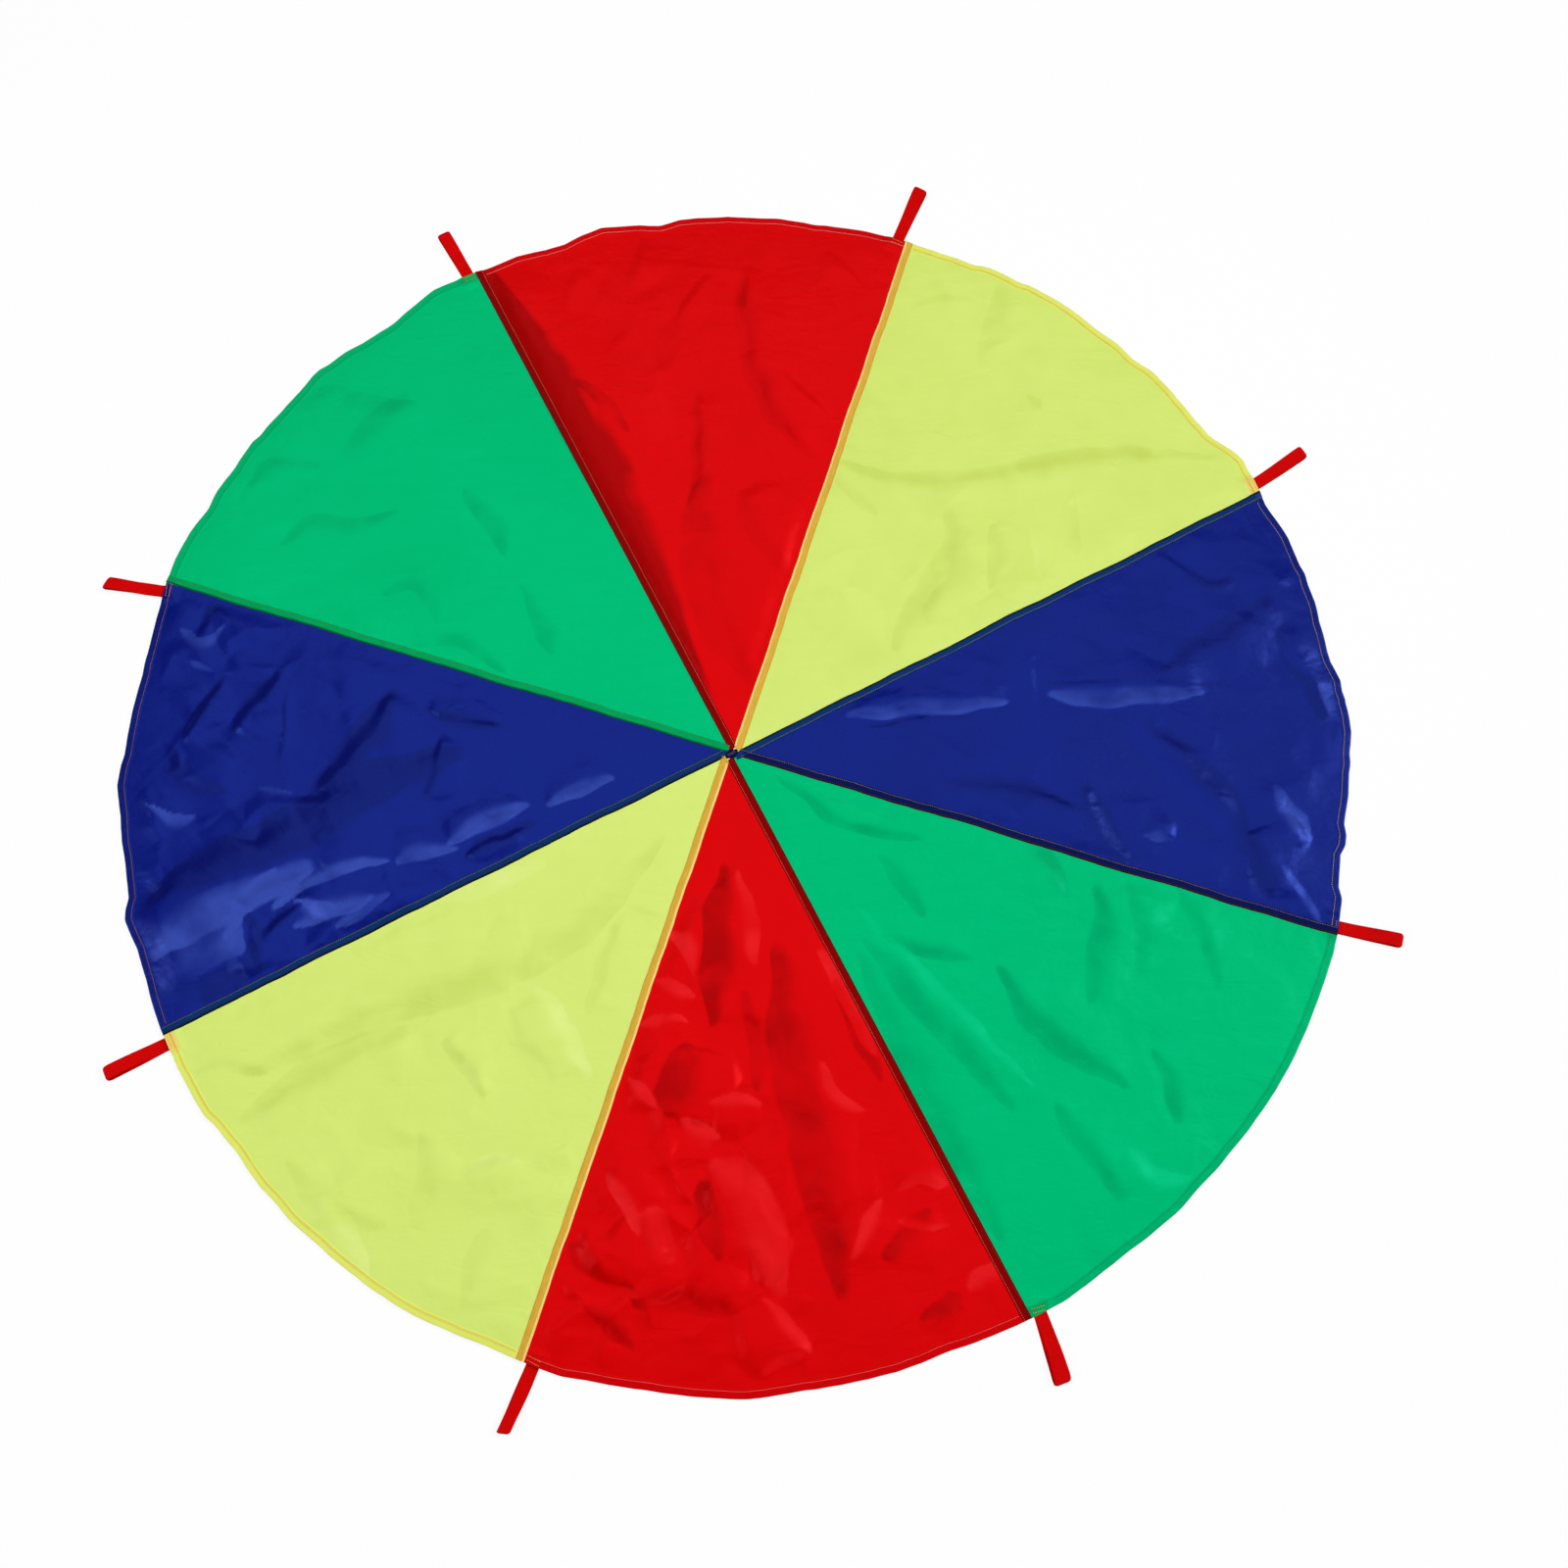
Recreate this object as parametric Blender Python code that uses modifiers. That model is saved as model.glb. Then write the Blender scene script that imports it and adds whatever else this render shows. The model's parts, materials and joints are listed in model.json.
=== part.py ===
"""Play parachute, 1.92 m across: eight cloth gores, felled seams, a hem and eight webbing loop handles.

It lies spread out on the floor. Metres, +Z up, the origin under the middle of the canopy on the floor.
Seam 1 runs out at 22.5 degrees from +X and the others follow every 45 degrees, counter-clockwise from
above. Gore, handle and tail N lie on the counter-clockwise side of seam N. Seams 3 and 7 make one
straight line, along which the canopy folds in half.
"""

import math

import bmesh
import bpy
import numpy as np
from mathutils import Matrix, Vector

# Canopy
GORES = 8
CANOPY_RADIUS = 0.960
FIRST_SEAM_DEG = 22.5
CLOTH_THICKNESS = 0.00025
CLEARANCE = 0.0003

# Hem: the cloth's edge, turned twice
HEM_WIDTH = 0.013
HEM_LAYERS = 3
HEM_STEP = 0.0012

# Felled seams: both gores' edges folded into each other and laid to one side
SEAM_WIDTH = 0.013
SEAM_LAYERS = 4
SEAM_LAID_THE_OTHER_WAY = 8

# Middle, where the folded seam ends are sewn over each other
CENTRE_RADIUS = 0.010
CENTRE_LAYERS = 6

# Handles: one length of webbing, doubled into a loop
WEBBING_WIDTH = 0.020
WEBBING_THICKNESS = 0.001
HANDLE_REACH = 0.105
HANDLE_ROOT = 0.008
TAIL_LENGTH = 0.016
LOOP_HEIGHT = 0.011
LOOP_JOIN = 0.022
HANDLE_LEAN_DEG = (6, -5, 2, 9, 0, -4, -9, 4)

# Room that the hem's corner keeps around the tail under it
TAIL_MARGIN = 0.004
TAIL_RAMP = 0.012

# Sewing thread
THREAD_RADIUS = 0.0003
ROW_INSET = 0.002
HEM_ROW_INSET = 0.0025
TACK_RUNS = 4

# Folds left in the cloth, as shares of the canopy's radius: each row is how far out its middle lies,
# how far across, its turn from the gore's own direction in degrees, its half length, its half width,
# and its height as a share of the highest fold
FOLD_HEIGHT = 0.0085
FOLD_SHARES = {
    1: (
        (0.78, -0.02, -45, 0.24, 0.045, 0.9),
        (0.5, 0.12, -20, 0.2, 0.05, 0.6),
        (0.62, -0.14, 12, 0.2, 0.05, 0.5),
    ),
    2: (
        (0.45, 0.1, 22, 0.34, 0.045, 1),
        (0.66, 0.16, 40, 0.12, 0.05, 0.8),
        (0.72, -0.12, -8, 0.22, 0.05, 0.6),
    ),
    3: (
        (0.6, -0.04, 5, 0.26, 0.05, 0.6),
        (0.82, -0.17, 20, 0.14, 0.05, 0.5),
        (0.72, 0.15, -15, 0.2, 0.05, 0.5),
    ),
    4: (
        (0.7, 0.01, 25, 0.22, 0.045, 1),
        (0.82, 0.22, 12, 0.14, 0.05, 0.8),
        (0.66, 0.19, 50, 0.12, 0.05, 0.8),
    ),
    5: (
        (0.58, -0.1, -28, 0.36, 0.05, 0.9),
        (0.72, 0.06, -32, 0.26, 0.05, 0.7),
        (0.8, 0.22, -8, 0.16, 0.05, 0.5),
    ),
    6: (
        (0.48, -0.04, 15, 0.18, 0.05, 1),
        (0.72, -0.17, -20, 0.16, 0.05, 0.7),
        (0.76, 0.1, 10, 0.18, 0.05, 0.8),
    ),
    7: (
        (0.4, 0, -16, 0.3, 0.045, 0.8),
        (0.66, -0.16, -8, 0.24, 0.05, 0.7),
        (0.74, 0.16, 12, 0.2, 0.05, 0.5),
    ),
    8: (
        (0.54, 0.05, 84, 0.11, 0.045, 0.8),
        (0.7, 0.05, -4, 0.24, 0.045, 0.8),
        (0.83, -0.2, -28, 0.16, 0.05, 0.9),
    ),
}

# The bands beside the seams and inside the hem over which the folds die out, in seam and hem widths
CALM_SIDES = 4
CALM_HEM = 8

# How finely the cloth is divided
ROWS_OUT = 12
COLUMNS_ACROSS = 8
TIP_WIDTH = 0.005
THREAD_SIDES = 1

CLOTHS = ("yellow", "red", "green", "blue")

# What follows from the sizes above
SECTOR = math.tau / GORES
TAIL_THICKNESS = 2 * WEBBING_THICKNESS
SEAM_THICKNESS = SEAM_LAYERS * CLOTH_THICKNESS
HEM_THICKNESS = HEM_LAYERS * CLOTH_THICKNESS
CENTRE_THICKNESS = CENTRE_LAYERS * CLOTH_THICKNESS
TAIL_RISE = TAIL_THICKNESS + CLEARANCE
MOST_LEAN = math.radians(max(abs(lean) for lean in HANDLE_LEAN_DEG))
HANDLE_OFFSET = WEBBING_WIDTH / 2 + TAIL_LENGTH * math.sin(MOST_LEAN) + 3 * CLEARANCE
TAIL_FAR_SIDE = HANDLE_OFFSET + WEBBING_WIDTH / 2 + TAIL_MARGIN
TAIL_INNER_END = CANOPY_RADIUS - TAIL_LENGTH - TAIL_MARGIN
HEM_INNER_EDGE = CANOPY_RADIUS - HEM_WIDTH
ALL_MATERIALS = {
    "cloth_yellow": ((0.63, 0.78, 0.16), 0.38),
    "cloth_red": ((0.72, 0.008, 0.008), 0.36),
    "cloth_green": ((0.0, 0.50, 0.17), 0.38),
    "cloth_blue": ((0.012, 0.020, 0.24), 0.34),
    "seam_yellow": ((0.66, 0.40, 0.06), 0.42),
    "seam_red": ((0.30, 0.0, 0.0), 0.42),
    "seam_green": ((0.0, 0.24, 0.09), 0.42),
    "seam_blue": ((0.004, 0.012, 0.08), 0.40),
    "webbing_red": ((0.60, 0.003, 0.003), 0.75),
    "thread_orange": ((0.75, 0.25, 0.04), 0.60),
}


def clear_scene():
    for item in list(bpy.data.objects):
        bpy.data.objects.remove(item, do_unlink=True)


def material(slot):
    """The named Principled material, made the first time it is asked for."""
    found = bpy.data.materials.get(slot)
    if found is None:
        colour, roughness = ALL_MATERIALS[slot]
        found = bpy.data.materials.new(slot)
        found.use_nodes = True
        shader = found.node_tree.nodes["Principled BSDF"]
        shader.inputs["Base Color"].default_value = (*colour, 1)
        shader.inputs["Roughness"].default_value = roughness
        shader.inputs["Metallic"].default_value = 0
    return found


def add_object(name, data, slot, collection):
    item = bpy.data.objects.new(name, data)
    data.materials.append(material(slot))
    collection.objects.link(item)
    return item


def seam_angle(seam):
    return math.radians(FIRST_SEAM_DEG) + (seam - 1) * SECTOR


def seam_side(seam):
    """Which side of its line the folded seam is laid to: 1 is counter-clockwise, -1 clockwise."""
    return 1 if (seam - 1) % GORES + 1 == SEAM_LAID_THE_OTHER_WAY else -1


def cloth_colour(gore):
    return CLOTHS[(gore - 1) % len(CLOTHS)]


def on_seam(seam, along, aside, height=0.0):
    """The point this far out along a seam's line and this far to its counter-clockwise side."""
    turn = seam_angle(seam)
    return Vector((
        along * math.cos(turn) - aside * math.sin(turn),
        along * math.sin(turn) + aside * math.cos(turn),
        height,
    ))


def ramp(value, full, none):
    """1 up to full, 0 from none on, straight between."""
    return np.clip((none - value) / (none - full), 0, 1)


def tail_lift(along, aside):
    """How high the sewn edge stands over the tail under it, by distance out and from the seam's line."""
    out = ramp(-along, -TAIL_INNER_END, -(TAIL_INNER_END - TAIL_RAMP))
    across = ramp(aside, TAIL_FAR_SIDE, TAIL_FAR_SIDE + TAIL_RAMP)
    return TAIL_RISE * out * across


# Gores


def gore_sides(gore):
    """How far the gore's two straight edges stand off the lines of the seams before and after it."""
    before = CLEARANCE + (SEAM_WIDTH if seam_side(gore) > 0 else 0)
    after = CLEARANCE + (SEAM_WIDTH if seam_side(gore + 1) < 0 else 0)
    return before, after


def gore_tip(gore):
    """The radius at which the gore starts: where it is TIP_WIDTH wide, outside the middle."""
    before, after = gore_sides(gore)
    meet = math.sqrt(before**2 + after**2 + 2 * before * after * math.cos(SECTOR)) / math.sin(SECTOR)
    return max(meet, CENTRE_RADIUS / math.cos(SECTOR / 2)) + TIP_WIDTH / math.sin(SECTOR)


def gore_rows(gore):
    tip = gore_tip(gore)
    last = TAIL_INNER_END - TAIL_RAMP
    inner = [tip + (last - tip) * row / ROWS_OUT for row in range(ROWS_OUT + 1)]
    return np.array(inner + [TAIL_INNER_END, HEM_INNER_EDGE - HEM_STEP, HEM_INNER_EDGE, CANOPY_RADIUS])


def gore_columns(gore, radius):
    """The angles of the gore's columns at a radius: even at the tip, closer over the tail at the hem."""
    before, after = gore_sides(gore)
    first = seam_angle(gore) + np.arcsin(before / radius)
    last = seam_angle(gore + 1) - np.arcsin(after / radius)
    far = seam_angle(gore) + np.arcsin(TAIL_FAR_SIDE / CANOPY_RADIUS)
    foot = seam_angle(gore) + np.arcsin((TAIL_FAR_SIDE + TAIL_RAMP) / CANOPY_RADIUS)
    start = seam_angle(gore) + np.arcsin(before / CANOPY_RADIUS)
    end = seam_angle(gore + 1) - np.arcsin(after / CANOPY_RADIUS)
    marks = [(far - start) / (end - start), (foot - start) / (end - start)]
    even = np.linspace(0, 1, COLUMNS_ACROSS + 3)
    spread = np.linspace(marks[1], 1, COLUMNS_ACROSS + 1)
    close = np.array([0, marks[0], *spread])
    share = np.clip(radius / TAIL_INNER_END, 0, 1) ** 2
    return first + (last - first) * (even * (1 - share) + close * share)


def fold_at(gore, x, y):
    """The height of the folds left in a gore: a smooth ridge for each row of its table."""
    middle = seam_angle(gore) + SECTOR / 2
    along = (x * math.cos(middle) + y * math.sin(middle)) / CANOPY_RADIUS
    across = (y * math.cos(middle) - x * math.sin(middle)) / CANOPY_RADIUS
    height = 0
    for out, aside, turn, half_length, half_width, share in FOLD_SHARES[gore]:
        c, s = math.cos(math.radians(turn)), math.sin(math.radians(turn))
        down = (along - out) * c + (across - aside) * s
        over = (across - aside) * c - (along - out) * s
        height = height + share * np.exp(-((down / half_length) ** 2) - (over / half_width) ** 2)
    return FOLD_HEIGHT * np.clip(height, 0, 1)


def gore_height(gore, radius, angle):
    """The cloth's underside: folds that die out at every sewn edge, and the lift over the tail."""
    x, y = radius * np.cos(angle), radius * np.sin(angle)
    before, after = gore_sides(gore)
    along = radius * np.cos(angle - seam_angle(gore))
    aside = radius * np.sin(angle - seam_angle(gore))
    to_last = radius * np.sin(seam_angle(gore + 1) - angle) - after
    calm_sides = 1 - ramp(np.minimum(aside - before, to_last), 0, CALM_SIDES * SEAM_WIDTH)
    calm_hem = ramp(radius, TAIL_INNER_END - CALM_HEM * HEM_WIDTH, TAIL_INNER_END - TAIL_RAMP)
    out = np.where(radius > HEM_INNER_EDGE - HEM_WIDTH, radius, along)
    return fold_at(gore, x, y) * calm_sides * calm_hem + tail_lift(out, aside)


def make_gore(gore, collection):
    """A grid bent to the gore's wedge, folded, and given the cloth's thickness, thicker along the hem."""
    radii = gore_rows(gore)
    rows, columns = len(radii), COLUMNS_ACROSS + 3
    mesh = bpy.data.meshes.new(f"gore_{gore}_{cloth_colour(gore)}")
    sheet = bmesh.new()
    bmesh.ops.create_grid(sheet, x_segments=rows - 1, y_segments=columns - 1, size=1)
    for vertex in sheet.verts:
        row = round((vertex.co.x + 1) / 2 * (rows - 1))
        column = round((vertex.co.y + 1) / 2 * (columns - 1))
        radius = radii[row]
        angle = gore_columns(gore, radius)[column]
        vertex.co = (radius * math.cos(angle), radius * math.sin(angle), gore_height(gore, radius, angle))
    sheet.to_mesh(mesh)
    sheet.free()
    item = add_object(mesh.name, mesh, f"cloth_{cloth_colour(gore)}", collection)
    group = item.vertex_groups.new(name="hem")
    for vertex in mesh.vertices:
        in_hem = vertex.co.xy.length > HEM_INNER_EDGE - HEM_STEP / 2
        group.add([vertex.index], 1.0 if in_hem else CLOTH_THICKNESS / HEM_THICKNESS, "REPLACE")
    wall = item.modifiers.new("cloth", "SOLIDIFY")
    wall.thickness = HEM_THICKNESS
    wall.offset = 1
    wall.vertex_group = group.name
    mesh.shade_smooth()
    mesh.set_sharp_from_angle(angle=math.radians(30))
    return item


# Felled seams


def seam_inner_end(seam):
    """The angle from a seam's line to its inner end's mitre: the next seam's line, or half way to it
    where both seams are laid over the same gore."""
    side = seam_side(seam)
    shared = seam_side(seam + side) == -side
    return SECTOR / 2 if shared else SECTOR


def seam_stations(seam):
    """Distances out along a seam where its outline or height changes: the start of its line's edge,
    the start of its far edge, and the places that both share."""
    mitre = seam_inner_end(seam)
    far = SEAM_WIDTH / math.tan(mitre) + 2 * CLEARANCE / math.sin(mitre)
    near = CENTRE_RADIUS + CLEARANCE
    outer = [TAIL_INNER_END - TAIL_RAMP, TAIL_INNER_END, CANOPY_RADIUS]
    return near, max(far, near), outer


def seam_lift(seam, along):
    """A seam laid to the counter-clockwise side runs over the handle's tail."""
    return float(tail_lift(np.array(along), np.array(0.0))) if seam_side(seam) > 0 else 0.0


def make_seam(seam, collection):
    """A flat strip, mitred at the middle against its neighbour, as thick as its layers of cloth."""
    side = seam_side(seam)
    near, far, outer = seam_stations(seam)
    mitre = seam_inner_end(seam)
    corner = near * math.tan(mitre) - 2 * CLEARANCE / math.cos(mitre)
    mesh = bpy.data.meshes.new(f"felled_seam_{seam}")
    strip = bmesh.new()
    line = [strip.verts.new(on_seam(seam, t, 0, seam_lift(seam, t))) for t in [near, *outer]]
    edge = [strip.verts.new(on_seam(seam, t, side * SEAM_WIDTH, seam_lift(seam, t))) for t in [far, *outer]]
    first = [line[0], line[1], edge[1], edge[0]]
    if far > near:
        first.append(strip.verts.new(on_seam(seam, near, side * min(corner, SEAM_WIDTH))))
    strip.faces.new(first)
    for step in range(1, len(line) - 1):
        strip.faces.new([line[step], line[step + 1], edge[step + 1], edge[step]])
    bmesh.ops.recalc_face_normals(strip, faces=strip.faces)
    if strip.faces[0].normal.z < 0:
        bmesh.ops.reverse_faces(strip, faces=strip.faces)
    strip.to_mesh(mesh)
    strip.free()
    in_gore = seam if side > 0 else seam - 1 or GORES
    item = add_object(mesh.name, mesh, f"seam_{cloth_colour(in_gore)}", collection)
    wall = item.modifiers.new("layers", "SOLIDIFY")
    wall.thickness = SEAM_THICKNESS
    wall.offset = 1
    return item


def make_centre(collection):
    """The sewn-over middle: a thin eight-sided pad whose flat sides face the seams."""
    pad = bmesh.new()
    turn = Matrix.Rotation(math.radians(FIRST_SEAM_DEG) + SECTOR / 2, 4, "Z")
    lift = Matrix.Translation((0, 0, CENTRE_THICKNESS / 2))
    corner = CENTRE_RADIUS / math.cos(SECTOR / 2)
    bmesh.ops.create_cone(
        pad, cap_ends=True, segments=GORES, radius1=corner, radius2=corner,
        depth=CENTRE_THICKNESS, matrix=lift @ turn,
    )
    mesh = bpy.data.meshes.new("centre_overlap")
    pad.to_mesh(mesh)
    pad.free()
    item = add_object(mesh.name, mesh, "seam_blue", collection)
    edge = item.modifiers.new("soft_edge", "BEVEL")
    edge.width = CLOTH_THICKNESS
    edge.segments = 1
    return item


# Thread


def make_thread(name, points, collection, closed=False):
    """Sewing thread along points, as a thin tube."""
    curve = bpy.data.curves.new(name, "CURVE")
    curve.dimensions = "3D"
    curve.bevel_depth = THREAD_RADIUS
    curve.bevel_resolution = THREAD_SIDES
    curve.use_fill_caps = True
    spline = curve.splines.new("POLY")
    spline.points.add(len(points) - 1)
    for point, place in zip(spline.points, points):
        point.co = (*place, 1)
    spline.use_cyclic_u = closed
    return add_object(name, curve, "thread_orange", collection)


def make_seam_thread(seam, collection):
    """Two rows along a felled seam, sewn out along one edge and back along the other."""
    side = seam_side(seam)
    _, far, outer = seam_stations(seam)
    above = SEAM_THICKNESS + CLEARANCE + THREAD_RADIUS
    end = CANOPY_RADIUS - ROW_INSET
    inner_row, outer_row = side * ROW_INSET, side * (SEAM_WIDTH - ROW_INSET)
    bends = [t for t in outer if t < end]
    points = [on_seam(seam, CENTRE_RADIUS + ROW_INSET, inner_row, above)]
    points += [on_seam(seam, t, inner_row, above + seam_lift(seam, t)) for t in [*bends, end]]
    points += [on_seam(seam, t, outer_row, above + seam_lift(seam, t)) for t in [end, *reversed(bends)]]
    points += [on_seam(seam, far + ROW_INSET, outer_row, above)]
    return make_thread(f"seam_thread_{seam}", points, collection)


def make_hem_thread(gore, collection):
    """The row that holds the hem of one gore down, just inside the hem's inner edge."""
    radius = HEM_INNER_EDGE + HEM_ROW_INSET
    above = HEM_THICKNESS + CLEARANCE + THREAD_RADIUS
    angles = gore_columns(gore, radius)
    inset = ROW_INSET / radius
    angles[0] += inset
    angles[-1] -= inset
    lifts = [gore_height(gore, radius, angle) for angle in angles]
    points = [
        Vector((radius * math.cos(angle), radius * math.sin(angle), lift + above))
        for angle, lift in zip(angles, lifts)
    ]
    return make_thread(f"hem_thread_{gore}", points, collection)


def handle_frame(handle):
    """Where a handle crosses the hem's edge, and the directions out along it and across it."""
    turn = seam_angle(handle) + math.radians(HANDLE_LEAN_DEG[handle - 1])
    out = Vector((math.cos(turn), math.sin(turn), 0))
    across = Vector((-math.sin(turn), math.cos(turn), 0))
    return on_seam(handle, CANOPY_RADIUS, HANDLE_OFFSET), out, across


def make_tack(handle, collection):
    """A zigzag of thread on the hem that holds the handle's tail."""
    place, out, across = handle_frame(handle)
    above = TAIL_RISE + HEM_THICKNESS + CLEARANCE + THREAD_RADIUS
    if seam_side(handle) > 0:
        above = TAIL_RISE + SEAM_THICKNESS + 2 * CLEARANCE + 3 * THREAD_RADIUS
    half = WEBBING_WIDTH / 2 - ROW_INSET
    start = -(HEM_WIDTH - HEM_ROW_INSET - ROW_INSET)
    step = (-ROW_INSET - start) / TACK_RUNS
    points = []
    for run in range(TACK_RUNS + 1):
        aside = half if run % 2 else -half
        points.append(place + out * (start + run * step) + across * aside + Vector((0, 0, above)))
    return make_thread(f"handle_tack_{handle}", points, collection)


def make_centre_tack(collection):
    """The bar tack across the sewn-over middle."""
    above = CENTRE_THICKNESS + CLEARANCE + THREAD_RADIUS
    reach = CENTRE_RADIUS - ROW_INSET
    points = [
        Vector((reach * (2 * run / TACK_RUNS - 1), ROW_INSET * (1 if run % 2 else -1), above))
        for run in range(TACK_RUNS + 1)
    ]
    return make_thread("centre_bartack", points, collection)


# Handles


def band_object(name, outlines, width, handle, at, collection):
    """Webbing seen edge on: outlines of (out, up) points, filled and extruded to the webbing's width."""
    curve = bpy.data.curves.new(name, "CURVE")
    curve.dimensions = "2D"
    curve.fill_mode = "BOTH"
    curve.extrude = width / 2
    for outline in outlines:
        spline = curve.splines.new("POLY")
        spline.points.add(len(outline) - 1)
        for point, (out, up) in zip(spline.points, outline):
            point.co = (out, up, 0, 1)
        spline.use_cyclic_u = True
    item = add_object(name, curve, "webbing_red", collection)
    place, out, across = handle_frame(handle)
    stand = Matrix((out, Vector((0, 0, 1)), -across)).transposed().to_4x4()
    item.matrix_world = Matrix.Translation(place + out * at) @ stand
    return item


def arc(centre, radius, start_deg, end_deg, steps):
    """Points round an arc in the (out, up) plane."""
    turns = [math.radians(start_deg + (end_deg - start_deg) * step / steps) for step in range(steps + 1)]
    return [(centre[0] + radius * math.cos(turn), centre[1] + radius * math.sin(turn)) for turn in turns]


def loop_outlines():
    """The loop edge on, out from its hinge: a flat lower run, a round tip and an upper run that sinks
    in a smooth S on to the lower one, where the two are sewn together."""
    thick = WEBBING_THICKNESS
    tip = (LOOP_HEIGHT - thick) / 2
    reach = HANDLE_REACH - HANDLE_ROOT - LOOP_HEIGHT / 2
    steps = 8
    upper = []
    for step in range(1, steps + 1):
        share = step / steps
        rise = (1 + math.cos(math.pi * share)) / 2
        upper.append((reach + (LOOP_JOIN - reach) * share, 1.5 * thick + (LOOP_HEIGHT - 2 * thick) * rise))
    centre = (reach, LOOP_HEIGHT / 2)
    outer = arc((0, thick), thick, 90, 270, 8)
    outer += arc(centre, tip + thick / 2, -90, 90, 8)
    outer += [(out, up + thick / 2) for out, up in upper]
    inner = [(LOOP_JOIN, thick)] + arc(centre, tip - thick / 2, -90, 90, 8)
    inner += [(out, up - thick / 2) for out, up in upper[:-1]]
    return outer, inner


def make_loop(handle, collection):
    name = f"handle_loop_{handle}"
    return band_object(name, loop_outlines(), WEBBING_WIDTH, handle, HANDLE_ROOT, collection)


def make_tail(handle, collection):
    """The doubled webbing between hem and hinge, square ended beside the loop's round end."""
    end = HANDLE_ROOT - WEBBING_THICKNESS - CLEARANCE
    outline = [(-TAIL_LENGTH, 0), (end, 0), (end, TAIL_THICKNESS), (-TAIL_LENGTH, TAIL_THICKNESS)]
    return band_object(f"handle_tail_{handle}", [outline], WEBBING_WIDTH, handle, 0, collection)


def main():
    clear_scene()
    collection = bpy.data.collections.new("play_parachute")
    bpy.context.scene.collection.children.link(collection)
    for number in range(1, GORES + 1):
        make_gore(number, collection)
        make_seam(number, collection)
        make_tail(number, collection)
        make_loop(number, collection)
        make_seam_thread(number, collection)
        make_hem_thread(number, collection)
        make_tack(number, collection)
    make_centre(collection)
    make_centre_tack(collection)


main()
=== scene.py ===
"""Play parachute spread on a floor: the finish of every surface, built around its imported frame.

Eight gores of crinkled taffeta, the felled seams between them, a hem, rows of stitches and eight webbing
loops are laid on the frame's pieces. Lengths are in metres, +Z is up and the middle of the canopy is the
origin. Seam 1 runs out at 22.5 degrees from +X, and gore and handle N lie on the counter-clockwise side
of seam N, as in the frame.
"""

import json
import math

import bpy
import numpy as np
from bpy.props import FloatProperty, FloatVectorProperty, PointerProperty
from mathutils import Matrix, Vector


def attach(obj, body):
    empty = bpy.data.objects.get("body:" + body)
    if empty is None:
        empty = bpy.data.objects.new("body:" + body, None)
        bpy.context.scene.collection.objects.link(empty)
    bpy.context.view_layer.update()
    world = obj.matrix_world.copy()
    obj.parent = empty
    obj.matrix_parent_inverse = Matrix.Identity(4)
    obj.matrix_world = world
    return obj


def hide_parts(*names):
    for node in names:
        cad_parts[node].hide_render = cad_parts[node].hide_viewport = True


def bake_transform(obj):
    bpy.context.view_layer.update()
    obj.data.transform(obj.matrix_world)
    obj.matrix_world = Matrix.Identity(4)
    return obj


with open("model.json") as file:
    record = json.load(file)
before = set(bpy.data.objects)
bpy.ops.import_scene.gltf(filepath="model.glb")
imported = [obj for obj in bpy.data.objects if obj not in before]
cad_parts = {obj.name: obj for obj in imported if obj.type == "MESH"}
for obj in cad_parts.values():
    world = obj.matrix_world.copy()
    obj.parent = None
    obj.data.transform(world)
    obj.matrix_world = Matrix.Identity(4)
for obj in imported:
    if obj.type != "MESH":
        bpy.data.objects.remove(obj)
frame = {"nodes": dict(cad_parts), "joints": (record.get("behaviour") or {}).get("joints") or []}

bl_info = {
    "name": "Play Parachute",
    "version": (1, 0, 0),
    "blender": (4, 5, 0),
    "location": "View3D > Sidebar > Parachute",
    "description": "Dresses the frame of a play parachute with cloth, seams, stitches and webbing",
    "category": "Add Mesh",
}

GORES = 8
SECTOR = math.tau / GORES
FIRST_SEAM = math.radians(22.5)
CLOTHS = ("yellow", "red", "green", "blue")
LAID_THE_OTHER_WAY = 8
RIGHT_GORES = (1, 2, 7, 8)
FOLD_SEAMS = (3, 7)
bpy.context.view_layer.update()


# Facts of the frame


def cloth_colour(gore):
    return CLOTHS[(gore - 1) % len(CLOTHS)]


def gore_node(gore):
    return f"gore_{gore}_{cloth_colour(gore)}"


def node_points(name):
    """A node's vertices as one array."""
    mesh = frame["nodes"][name].data
    points = np.empty(len(mesh.vertices) * 3)
    mesh.vertices.foreach_get("co", points)
    return points.reshape(-1, 3)


def node_radius():
    """The canopy's radius: how far out the widest gore reaches."""
    return max(np.hypot(*node_points(gore_node(g))[:, :2].T).max() for g in range(1, GORES + 1))


RADIUS = node_radius()


def seam_angle(seam):
    return FIRST_SEAM + (seam - 1) * SECTOR


def seam_side(seam):
    """Which side of its line a felled seam lies on: 1 is counter-clockwise, -1 clockwise."""
    return 1 if (seam - 1) % GORES + 1 == LAID_THE_OTHER_WAY else -1


def seam_gore(seam):
    """The gore that a felled seam lies on."""
    return seam if seam_side(seam) > 0 else seam - 1 or GORES


def half_of(gore):
    return "right_half" if gore in RIGHT_GORES else "left_half"


FOLD_OUT = np.array([math.sin(seam_angle(3)), -math.cos(seam_angle(3))])


def joint(name):
    return next(j for j in frame["joints"] if j["name"] == name)


# Colours as a screen shows them


def on_screen(red, green, blue):
    """A linear colour from its screen values, 0 to 255."""
    shares = (red / 255, green / 255, blue / 255)
    return tuple(s / 12.92 if s <= 0.04045 else ((s + 0.055) / 1.055) ** 2.4 for s in shares)


def length(name, description, default, low=0.0):
    return FloatProperty(
        name=name, description=description, default=default, min=low, max=1.0, unit="LENGTH", precision=5,
    )


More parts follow.
